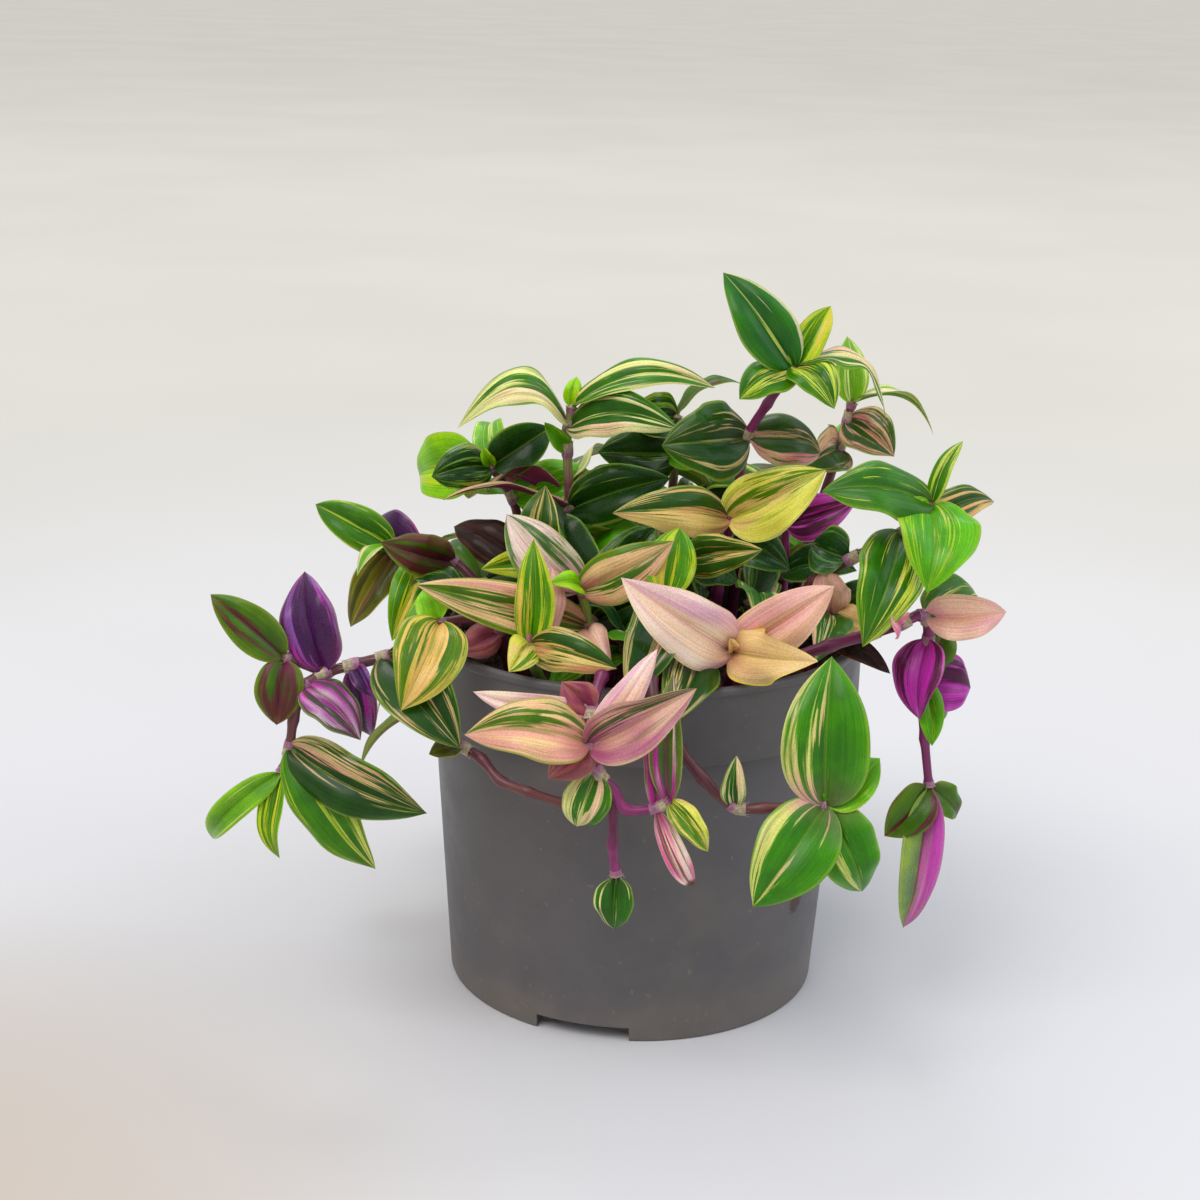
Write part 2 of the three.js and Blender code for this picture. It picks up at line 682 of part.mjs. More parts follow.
function potSolid() {
  const outside = [
    [FOOT_RADIUS, 0],
    [wallAt(BAND_BOTTOM), BAND_BOTTOM],
    [RIM_RADIUS - LIP_PROUD, BAND_BOTTOM + BAND_SLOPE],
    [RIM_RADIUS - LIP_PROUD, POT_HEIGHT - LIP_DROP],
    [RIM_RADIUS, POT_HEIGHT - LIP_DROP + LIP_SLOPE],
    [RIM_RADIUS, POT_HEIGHT - LIP_EDGE],
    [RIM_RADIUS - LIP_EDGE, POT_HEIGHT],
  ];
  const inside = [
    [RIM_RADIUS - LIP_PROUD - WALL, POT_HEIGHT],
    [RIM_RADIUS - LIP_PROUD - WALL, BAND_BOTTOM + WALL],
    [wallAt(BAND_BOTTOM) - WALL, BAND_BOTTOM - WALL],
    [wallAt(FLOOR_UNDERSIDE + WALL) - WALL, FLOOR_UNDERSIDE + WALL],
    [PAD_RADIUS + PAD_SLOPE - WALL, FLOOR_UNDERSIDE + WALL],
    [PAD_RADIUS - WALL, WALL],
    [0, WALL],
  ];
  const underside = [
    [0, 0],
    [PAD_RADIUS, 0],
    [PAD_RADIUS + PAD_SLOPE, FLOOR_UNDERSIDE],
    [FOOT_RADIUS - FOOT_WIDTH - 1, FLOOR_UNDERSIDE],
    [FOOT_RADIUS - FOOT_WIDTH, 0],
  ];
  const profile = [...underside, ...outside, ...inside].map(([r, z]) => new THREE.Vector2(r, z));
  const shell = new THREE.LatheGeometry(profile, POT_SIDES);
  shell.rotateX(Math.PI / 2);
  let pot = solid(shell);
  const cut = (geometry) => {
    pot = pot.subtract(solid(geometry));
  };
  for (let k = 0; k < NOTCH_COUNT; k += 1) {
    const notch = new THREE.BoxGeometry(2.5 * FOOT_WIDTH, NOTCH_WIDTH, 2 * NOTCH_HEIGHT);
    notch.translate(FOOT_RADIUS, 0, 0);
    notch.rotateZ(NOTCH_ANGLE + (k / NOTCH_COUNT) * 2 * Math.PI);
    cut(notch);
  }
  for (let k = 0; k < HOLE_COUNT; k += 1) {
    const hole = new THREE.CylinderGeometry(HOLE_RADIUS, HOLE_RADIUS, 3 * WALL, HOLE_SIDES);
    hole.rotateX(Math.PI / 2);
    hole.translate(HOLE_RING, 0, FLOOR_UNDERSIDE + WALL / 2);
    hole.rotateZ(((k + 0.5) / HOLE_COUNT) * 2 * Math.PI);
    cut(hole);
  }
  return pot;
}

function soilSolid(roots) {
  const innerAt = (z) => wallAt(z) - WALL - SOIL_GAP;
  const padRadius = PAD_RADIUS - WALL - SOIL_GAP;
  const bandRadius = RIM_RADIUS - LIP_PROUD - WALL - SOIL_GAP;
  const bottom = FLOOR_UNDERSIDE + WALL + CLEARANCE;
  const profile = [
    [0, WALL + CLEARANCE],
    [padRadius, WALL + CLEARANCE],
    [padRadius + PAD_SLOPE, bottom],
    [innerAt(bottom), bottom],
    [innerAt(BAND_BOTTOM - WALL), BAND_BOTTOM - WALL],
    [bandRadius, BAND_BOTTOM + WALL + SOIL_GAP],
    [bandRadius, SOIL_TOP - SOIL_CROWN],
    [SOIL_SHOULDER * bandRadius, SOIL_TOP - 0.4 * SOIL_CROWN],
    [0, SOIL_TOP],
  ].map(([r, z]) => new THREE.Vector2(r, z));
  const body = new THREE.LatheGeometry(profile, SOIL_SIDES);
  body.rotateX(Math.PI / 2);
  let soil = solid(body);
  for (const [x, y] of roots) {
    const radius = STEM_ROOT_RADIUS + SOCKET_GAP;
    const socket = new THREE.CylinderGeometry(radius, radius, 2 * SOCKET_DEPTH, STEM_SIDES);
    socket.rotateX(Math.PI / 2);
    socket.rotateZ(Math.PI / 2);
    socket.translate(x, y, SOIL_TOP);
    soil = soil.subtract(solid(socket));
  }
  return soil;
}

function boxesMeet(a, b) {
  return [0, 1, 2].every((k) => a.min[k] <= b.max[k] && b.min[k] <= a.max[k]);
}

function meets(one, others) {
  const box = one.boundingBox();
  return others.some((other) => boxesMeet(box, other.box) && !one.intersect(other.solid).isEmpty());
}

function filed(manifold) {
  return { solid: manifold, box: manifold.boundingBox() };
}

function jointPoints(shoot) {
  return shoot.points.map(([x, y, z], k) => vector([x, y, k === 0 ? SOIL_TOP + ROOT_NECK : z]));
}

function stemParts(shoot, joints) {
  const runs = shoot.stems ?? [shoot.points.map((_, k) => k)];
  const foot = new THREE.Vector3(joints[0].x, joints[0].y, SOIL_TOP - ROOT_DEPTH);
  return runs.map((run, k) => {
    const points = run.map((joint) => joints[joint]);
    if (k === 0) {
      return stemSolid([foot, ...points], STEM_ROOT_RADIUS, STEM_TIP_RADIUS);
    }
    return stemSolid(points, SIDE_STEM_RADIUS, STEM_TIP_RADIUS);
  });
}

const pot = filed(potSolid());
const placed = [];

function growStem(shoot) {
  const joints = jointPoints(shoot);
  const stems = stemParts(shoot, joints).map(filed);
  return { shoot, joints, stems, blades: [] };
}

function solidsOf(plants) {
  return plants.flatMap((plant) => [...plant.stems, ...plant.blades]);
}

// Gives each leaf of a plant the first bend that keeps it clear of all that stands already
function growLeaves(plant) {
  const others = solidsOf(placed.filter((other) => other !== plant));
  for (const [joint, x, y, z, width, facing, arch] of plant.shoot.leaves) {
    const base = plant.joints[joint];
    const wanted = vector([x, y, z]);
    const own = [...plant.stems, ...plant.blades];
    const found = BENDS.find((bend) => {
      const tip = bentTip(base, wanted, facing, bend);
      const size = width * bend[2];
      const grown = bladeSolid(base, tip, size, facing, arch, CLEARANCE);
      if (meets(grown, [pot]) || meets(grown, others)) {
        return false;
      }
      return !meets(bladeSolid(base, tip, size, facing, arch, 0, FREE_BLADE_START), own);
    });
    if (found) {
      const tip = bentTip(base, wanted, facing, found);
      plant.blades.push(filed(bladeSolid(base, tip, width * found[2], facing, arch)));
    }
  }
}

for (const shoot of SHOOTS) {
  placed.push(growStem(shoot));
}
for (const plant of placed) {
  growLeaves(plant);
}
for (const { kind, seed, tries, leastLeaves } of FILLS) {
  for (let number = 0; number < tries && placed.length < MOST_SHOOTS; number += 1) {
    const plant = growStem(fillShoot(kind, seed, number));
    const others = solidsOf(placed);
    if (!plant.stems.some((stem) => meets(stem.solid, [pot]) || meets(stem.solid, others))) {
      growLeaves(plant);
      if (plant.blades.length >= leastLeaves) {
        placed.push(plant);
      }
    }
  }
}

const part = new THREE.Group();
part.name = "potted_tradescantia";

function addMesh(name, geometry, look) {
  const mesh = new THREE.Mesh(geometry, new THREE.MeshStandardMaterial({ metalness: 0, ...look }));
  mesh.name = name;
  part.add(mesh);
}

const roots = placed.map((plant) => plant.shoot.points[0]);
addMesh("pot", meshOf(pot.solid), { color: 0x6d6c6e, roughness: 0.6 });
addMesh("soil", meshOf(soilSolid(roots)), { color: 0x2a211b, roughness: 1 });
for (const plant of placed) {
  const pieces = solidsOf([plant]).map((piece) => piece.solid);
  addMesh(plant.shoot.name, meshOf(wasm.Manifold.union(pieces)), COLOURS[plant.shoot.colour]);
}

export default part;
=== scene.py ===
"""A potted tradescantia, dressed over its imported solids: leafy shoots, soil and a plastic nursery pot.

The tables give millimetres, as the solids' source does, and the meshes are made in metres.
"""

import logging
import math
from collections.abc import Sequence
from dataclasses import dataclass, field, fields, replace
from enum import Enum

import bmesh
import bpy
import numpy as np
from mathutils import Matrix, Vector, noise


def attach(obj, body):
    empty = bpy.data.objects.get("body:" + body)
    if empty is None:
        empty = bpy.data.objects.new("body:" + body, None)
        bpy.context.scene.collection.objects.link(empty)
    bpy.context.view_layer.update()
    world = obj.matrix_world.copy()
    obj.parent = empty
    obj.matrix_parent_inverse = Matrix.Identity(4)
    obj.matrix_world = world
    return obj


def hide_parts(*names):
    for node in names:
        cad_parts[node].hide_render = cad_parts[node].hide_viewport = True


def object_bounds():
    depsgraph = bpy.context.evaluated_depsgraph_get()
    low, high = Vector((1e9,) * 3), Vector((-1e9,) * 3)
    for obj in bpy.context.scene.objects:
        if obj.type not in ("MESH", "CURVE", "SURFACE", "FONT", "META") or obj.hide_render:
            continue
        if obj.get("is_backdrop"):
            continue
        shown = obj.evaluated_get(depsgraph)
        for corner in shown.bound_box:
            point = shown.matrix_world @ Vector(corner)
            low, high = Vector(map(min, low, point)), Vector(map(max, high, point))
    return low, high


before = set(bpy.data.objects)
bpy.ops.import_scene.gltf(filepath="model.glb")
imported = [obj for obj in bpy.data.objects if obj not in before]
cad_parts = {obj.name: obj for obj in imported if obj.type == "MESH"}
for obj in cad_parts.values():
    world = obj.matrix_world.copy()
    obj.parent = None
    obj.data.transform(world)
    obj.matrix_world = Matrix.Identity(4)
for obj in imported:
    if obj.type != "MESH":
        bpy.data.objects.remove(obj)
CAD_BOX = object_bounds()

LOG = logging.getLogger("tradescantia")
MM = 0.001
TRAITS_NAME = "grown_traits"
MAP_NAME = "GrownMap"
FLOAT = "NodeSocketFloat"
VECTOR = "NodeSocketVector"
COLOUR = "NodeSocketColor"

Array = np.ndarray
Draw = np.random.Generator
Frames = tuple[Array, Array, Array]
Colour = tuple[float, float, float]
Screen = tuple[int, int, int]
Point = tuple[float, float, float]
Span = tuple[float, float]
Material = bpy.types.Material
Node = bpy.types.Node
Piece = bpy.types.Object
Socket = bpy.types.NodeSocket
Outputs = bpy.types.NodeOutputs
Plug = Socket | float | tuple[float, ...]
Feeds = dict[str | int, Plug]


def paint(*screen: int) -> Colour:
    """Turns a colour of a screen into the linear one that shaders use.

    Args:
        screen: its red, green and blue, 0 to 255 each.

    Returns:
        The linear colour.
    """
    low, toe, power = 0.04045, 12.92, 2.4
    shares = [channel / 255 for channel in screen]
    return tuple(s / toe if s <= low else ((s + 0.055) / 1.055) ** power for s in shares)


class NodeBoard:
    """Adds nodes to one node tree and joins them."""

    MIX_COLOURS = (6, 7)
    MIXED_COLOUR = 2

    def __init__(self, tree: bpy.types.NodeTree) -> None:
        """Keeps the tree of a material, a world or a group, which the nodes go into."""
        self.tree = tree

    def plug(self, socket: Socket, value: Plug) -> None:
        """Links a socket to another one, or sets its number or colour.

        Args:
            socket: the input to feed.
            value: an output socket, a number, a vector or a colour.
        """
        if isinstance(value, bpy.types.NodeSocket):
            self.tree.links.new(value, socket)
        elif isinstance(value, tuple) and socket.type == "RGBA":
            socket.default_value = (*value[:3], 1.0)
        else:
            socket.default_value = value

    def feed(self, node: Node, feeds: Feeds) -> None:
        """Feeds inputs of a node, each found by its name or its number."""
        for name, value in feeds.items():
            self.plug(node.inputs[name], value)

    def add(self, kind: str, feeds: Feeds | None = None, **settings: object) -> Node:
        """Adds a node.

        Args:
            kind: the node's type name.
            feeds: what goes into its inputs.
            settings: properties to set on it.

        Returns:
            The node.
        """
        node = self.tree.nodes.new(kind)
        for name, value in settings.items():
            setattr(node, name, value)
        self.feed(node, feeds or {})
        return node

    def math(self, operation: str, *values: Plug) -> Socket:
        """Does one sum on up to three numbers."""
        numbers = (*values, 0.0, 0.0)[:3]
        return self.add("ShaderNodeMath", dict(enumerate(numbers)), operation=operation).outputs[0]

    def plus(self, first: Plug, second: Plug) -> Socket:
        """Adds two numbers."""
        return self.math("ADD", first, second)

    def times(self, first: Plug, second: Plug) -> Socket:
        """Multiplies two numbers."""
        return self.math("MULTIPLY", first, second)

    def line(self, value: Plug, slope: Plug, start: Plug) -> Socket:
        """Multiplies a number by a slope and adds a start."""
        return self.math("MULTIPLY_ADD", value, slope, start)

    def mix(self, share: Plug, first: Plug, second: Plug, blend: str = "MIX") -> Socket:
        """Mixes two colours, by the share of the second."""
        feeds = {0: share, self.MIX_COLOURS[0]: first, self.MIX_COLOURS[1]: second}
        return self.add("ShaderNodeMix", feeds, data_type="RGBA", blend_type=blend).outputs[self.MIXED_COLOUR]

    def shaded(self, colour: Plug, tone: Plug) -> Socket:
        """Makes a colour darker or lighter by a number."""
        return self.mix(1.0, colour, self.combine(tone, tone, tone), "MULTIPLY")

    def combine(self, x: Plug, y: Plug, z: Plug) -> Socket:
        """Makes a vector of three numbers."""
        return self.add("ShaderNodeCombineXYZ", {0: x, 1: y, 2: z}).outputs[0]

    def parts(self, vector: Plug) -> Outputs:
        """Takes a vector apart into three numbers."""
        return self.add("ShaderNodeSeparateXYZ", {0: vector}).outputs

    def here(self) -> Socket:
        """Gives the place on the object."""
        return self.add("ShaderNodeTexCoord").outputs["Object"]

    def apart(self, place: Plug, spot: Point) -> Socket:
        """Measures how far a place is from a spot."""
        return self.add("ShaderNodeVectorMath", {0: place, 1: spot}, operation="DISTANCE").outputs["Value"]

    def noise(self, place: Plug, scale: Plug, detail: float = 2.0, roughness: float = 0.5) -> Socket:
        """Reads soft noise about 0.5 at a place; detail and roughness set its finer layers."""
        feeds = {"Vector": place, "Scale": scale, "Detail": detail, "Roughness": roughness}
        return self.add("ShaderNodeTexNoise", feeds).outputs[0]

    def remap(self, value: Plug, start: Plug, end: Plug, low: Plug = 0.0, high: Plug = 1.0) -> Socket:
        """Maps a number smoothly from the range of start and end to that of low and high."""
        feeds = dict(enumerate((value, start, end, low, high)))
        return self.add("ShaderNodeMapRange", feeds, interpolation_type="SMOOTHSTEP").outputs[0]

    def bump(self, height: Plug, depth: float, strength: float) -> Socket:
        """Makes a normal of a height from 0 to 1, where 1 is the depth in metres."""
        feeds = {"Strength": strength, "Distance": depth, "Height": height}
        return self.add("ShaderNodeBump", feeds).outputs[0]

    def grown(self) -> Feeds:
        """Reads what a grown mesh carries: its map, and its seed, lean and share of light colour."""
        traits = self.add("ShaderNodeAttribute", attribute_name=TRAITS_NAME).outputs["Vector"]
        return {"Map": self.add("ShaderNodeUVMap", uv_map=MAP_NAME).outputs[0], "Traits": traits}


class SharedEffect:
    """A node group that several materials place, each with its own values.

    It takes sockets by their kind, or plain numbers by the value that they have when nothing is given.
    """

    title = ""
    takes: dict[str, str | float] = {}
    gives: dict[str, str] = {}

    def group(self) -> bpy.types.NodeTree:
        """Gives the group, built on the first call.

        Returns:
            The node group.
        """
        found = bpy.data.node_groups.get(self.title)
        if found:
            return found
        tree = bpy.data.node_groups.new(self.title, "ShaderNodeTree")
        for name, value in self.takes.items():
            kind = FLOAT if isinstance(value, float) else value
            socket = tree.interface.new_socket(name, in_out="INPUT", socket_type=kind)
            if kind == FLOAT:
                socket.default_value = value
        for name, kind in self.gives.items():
            tree.interface.new_socket(name, in_out="OUTPUT", socket_type=kind)
        board = NodeBoard(tree)
        entry = board.add("NodeGroupInput").outputs
        board.add("NodeGroupOutput", self.fill(board, entry))
        return tree

    def fill(self, board: NodeBoard, entry: Outputs) -> Feeds:
        """Builds what the group does.

        Args:
            board: the group's board.
            entry: what comes in.

        Returns:
            What goes out, by name.
        """
        raise NotImplementedError

    def place(self, board: NodeBoard, values: Feeds) -> Outputs:
        """Places the group on a material's board, with the values that it takes there."""
        return board.add("ShaderNodeGroup", values, node_tree=self.group()).outputs


class ParallelStripes(SharedEffect):
    """Stripes that run along a blade from its base to its tip, as the colour in these leaves does."""

    title = "parallel_stripes"
    takes = {
        "Map": VECTOR, "Traits": VECTOR, "Share": 0.4, "Bands": 6.0, "Softness": 0.02, "Streaks": 0.25,
        "Centre": 0.0,
    }
    gives = dict.fromkeys(("Stripes", "Veins", "Drift", "Rib", "Margin", "Side", "Along"), FLOAT)

    def fill(self, board: NodeBoard, entry: Outputs) -> Feeds:
        """Builds the stripes, fine veins, a slow drift of colour, the rib and the margin.

        Args:
            board: the group's board.
            entry: what comes in.

        Returns:
            What goes out, by name.
        """
        parts = board.parts(entry["Map"])
        across = board.line(parts[0], 2.0, -1.0)
        along = parts[1]
        size = board.math("ABSOLUTE", across)
        seed, lean, more = board.parts(entry["Traits"])

        def layer(wide: Plug, long: float, step: float, detail: float) -> Socket:
            """Reads noise that is stretched along the blade.

            Args:
                wide: its scale across.
                long: its scale along.
                step: how far blades stand apart in it.
                detail: its finer layers.

            Returns:
                The noise.
            """
            shift = board.line(seed, step, step)
            place = board.combine(board.times(across, wide), board.times(along, long), shift)
            return board.noise(place, 1.0, detail)

        broad = layer(entry["Bands"], 0.5, 37.0, 1.0)
        streaks = layer(board.times(entry["Bands"], 4.6), 2.6, 53.0, 3.0)
        sector = layer(1.1, 0.35, 71.0, 0.0)
        total = board.times(broad, board.math("SUBTRACT", 0.72, entry["Streaks"]))
        total = board.line(streaks, entry["Streaks"], total)
        total = board.line(sector, 0.28, total)
        total = board.plus(total, board.remap(size, 0.03, 0.11, entry["Centre"], 0.0))
        total = board.plus(total, board.times(board.times(lean, across), 0.14))
        level = board.line(board.plus(entry["Share"], more), -0.25, 0.625)
        fading = layer(5.0, 1.6, 13.0, 1.0)
        soft = board.times(entry["Softness"], board.remap(fading, 0.35, 0.65, 0.3, 2.2))
        stripes = board.remap(total, board.math("SUBTRACT", level, soft), board.plus(level, soft))
        return {
            "Stripes": board.times(stripes, board.remap(fading, 0.28, 0.5, 0.62, 1.0)),
            "Veins": layer(34.0, 1.1, 91.0, 1.0),
            "Drift": layer(1.7, 1.3, 23.0, 1.0),
            "Rib": board.remap(size, 0.02, 0.055, 1.0, 0.0),
            "Margin": board.remap(size, 0.9, 0.96),
            "Side": size,
            "Along": along,
        }


class LeafSkin(SharedEffect):
    """The coloured skin of a leaf: stripes, tint, rib, margin, veins, the fine grain of its cells, and a
    painted glow of light through it.
    """

    title = "leaf_skin"
    takes = {
        "Map": VECTOR, "Traits": VECTOR, "Dark": COLOUR, "Light": COLOUR, "Tint": COLOUR, "Rib": COLOUR,
        "Edge": COLOUR, "Share": 0.4, "Tint Share": 0.0, "Bands": 6.0, "Streaks": 0.25, "Centre": 0.0,
        "Rib Strength": 0.3, "Edge Strength": 0.3, "Foot": COLOUR, "Foot Strength": 0.4, "Withered": 0.0,
        "Gloss": 0.4, "Gain": 1.0, "Painted Glow": 1.0,
    }
    gives = {"Colour": COLOUR, "Roughness": FLOAT, "Height": FLOAT}
    # painted glow: the tint that paints light shining through a green blade
    lively: Colour = (1.75, 1.5, 0.55)
    withered: Colour = paint(112, 62, 44)
    depth: float = 1.42

    def fill(self, board: NodeBoard, entry: Outputs) -> Feeds:
        """Builds the skin's colour, roughness and height.

        Args:
            board: the group's board.
            entry: what comes in.

        Returns:
            What goes out, by name.
        """
        names = ("Map", "Traits", "Share", "Bands", "Streaks", "Centre")
        lines = ParallelStripes().place(board, {name: entry[name] for name in names})
        place = board.here()
        cells = board.noise(place, 2400.0, 1.0, 0.6)
        patches = board.noise(place, 160.0, 1.0)
        level = board.line(entry["Tint Share"], -0.5, 0.75)
        tinted = board.remap(lines["Drift"], board.math("SUBTRACT", level, 0.12), board.plus(level, 0.12))
        light = board.mix(tinted, entry["Light"], entry["Tint"])
        # painted glow: the dark green is painted lighter and yellower towards the margins and in soft
        # patches, for light shining through the blade
        lively = board.mix(1.0, entry["Dark"], self.lively, "MULTIPLY")
        painted_glow_share = board.remap(lines["Side"], 0.35, 1.0, 0.0, 0.5)
        painted_glow_share = board.plus(painted_glow_share, board.remap(patches, 0.35, 0.7, 0.0, 0.45))
        dark = board.mix(board.times(painted_glow_share, entry["Painted Glow"]), entry["Dark"], lively)
        foot = board.times(board.remap(lines["Along"], 0.0, 0.34, 1.0, 0.0), entry["Foot Strength"])
        light = board.mix(foot, light, entry["Foot"])
        dark = board.mix(board.times(foot, 0.3), dark, entry["Foot"])
        colour = board.mix(lines["Stripes"], dark, light)
        for name in ("Rib", "Edge"):
            mask = lines["Margin" if name == "Edge" else name]
            colour = board.mix(board.times(mask, entry[f"{name} Strength"]), colour, entry[name])
        tip = board.times(board.remap(lines["Along"], 0.8, 0.9), entry["Withered"])
        colour = board.mix(tip, colour, self.withered)
        shade = board.times(board.remap(lines["Veins"], 0.25, 0.75, 0.86, 1.1), entry["Gain"])
        colour = board.shaded(colour, board.times(shade, board.remap(cells, 0.3, 0.7, 0.93, 1.06)))
        return {
            "Colour": board.add("ShaderNodeGamma", {0: colour, 1: self.depth}).outputs[0],
            "Roughness": board.plus(entry["Gloss"], board.remap(cells, 0.3, 0.7, -0.05, 0.08)),
            "Height": board.line(cells, 0.3, board.times(lines["Veins"], 0.7)),
        }


@dataclass(frozen=True)
class Finish:
    """A surface, whose material is made once."""

    title: str

    def material(self) -> Material:
        """Gives the surface's material, made on the first call.

        Returns:
            The material.
        """
        found = bpy.data.materials.get(self.title)
        if found:
            return found
        material = bpy.data.materials.new(self.title)
        material.use_nodes = True
        board = NodeBoard(material.node_tree)
        shader = next(node for node in material.node_tree.nodes if node.type == "BSDF_PRINCIPLED")
        board.feed(shader, self.surface(board))
        return material

    def surface(self, board: NodeBoard) -> Feeds:
        """Builds what the shader takes.

        Args:
            board: the material's board.

        Returns:
            Sockets and plain values, by the name of the shader's input.
        """
        raise NotImplementedError


@dataclass(frozen=True)
class LeafFinish(Finish):
    """The colours of one side of a leaf, how much of it they take, and how it shines."""

    title: str = field(default="", kw_only=True)
    dark: Screen
    light: Screen
    tint: Screen
    share: float
    tint_share: float = 0.3
    bands: float = 5.0
    centre: float = 0.0
    rib: Screen = (150, 170, 95)
    rib_strength: float = 0.35
    edge: Screen = (170, 190, 90)
    edge_strength: float = 0.35
    streaks: float = 0.22
    foot: Screen = (150, 60, 120)
    foot_strength: float = 0.25
    withered: float = 0.0
    gloss: float = 0.33
    gain: float = 1.32
    frill: float = field(default=1.0, metadata={"form": True})
    under: "LeafFinish | None" = field(default=None, metadata={"form": True})

    def surface(self, board: NodeBoard) -> Feeds:
        """Builds the leaf's skin, which takes every value that isn't about its form.

        Args:
            board: the material's board.

        Returns:
            What the shader takes, by input.
        """
        # only green leaves get the painted glow of light through the blade
        values = {**board.grown(), "Painted Glow": 1.0 if self.dark[1] > self.dark[0] else 0.0}
        for entry in fields(self)[1:]:
            if not entry.metadata:
                value = getattr(self, entry.name)
                name = entry.name.replace("_", " ").title()
                values[name] = paint(*value) if isinstance(value, tuple) else value
        skin = LeafSkin().place(board, values)
        return {
            "Base Color": skin["Colour"],
            "Roughness": skin["Roughness"],
            "Normal": board.bump(skin["Height"], 0.00014, 0.7),
            "Subsurface Weight": 0.2,
            "Subsurface Radius": (1.0, 0.8, 0.35),
            "Subsurface Scale": 0.0009,
            "Specular IOR Level": 0.18,
            "Coat Weight": 0.16,
            "Coat Roughness": 0.14,
        }


UNDER_GREEN = LeafFinish(
    (110, 146, 78), (176, 190, 122), (170, 140, 140), 0.4, 0.2, 4.0, gloss=0.5, title="leaf_under_green",
)
UNDER_MAGENTA = LeafFinish(
    (138, 62, 112), (172, 112, 152), (122, 110, 92), 0.35, 0.35, 4.0, rib=(120, 60, 100),
    edge=(170, 110, 140), gloss=0.45, title="leaf_under_magenta",
)
UNDER_PINK = LeafFinish(
    (205, 128, 142), (226, 170, 165), (196, 104, 150), 0.5, 0.4, 4.0, rib=(205, 140, 150),
    edge=(205, 190, 140), gloss=0.5, title="leaf_under_pink",
)
UNDER_YELLOW = LeafFinish(
    (164, 172, 72), (208, 200, 122), (214, 178, 140), 0.5, 0.3, 4.0, gloss=0.5, title="leaf_under_yellow",
)


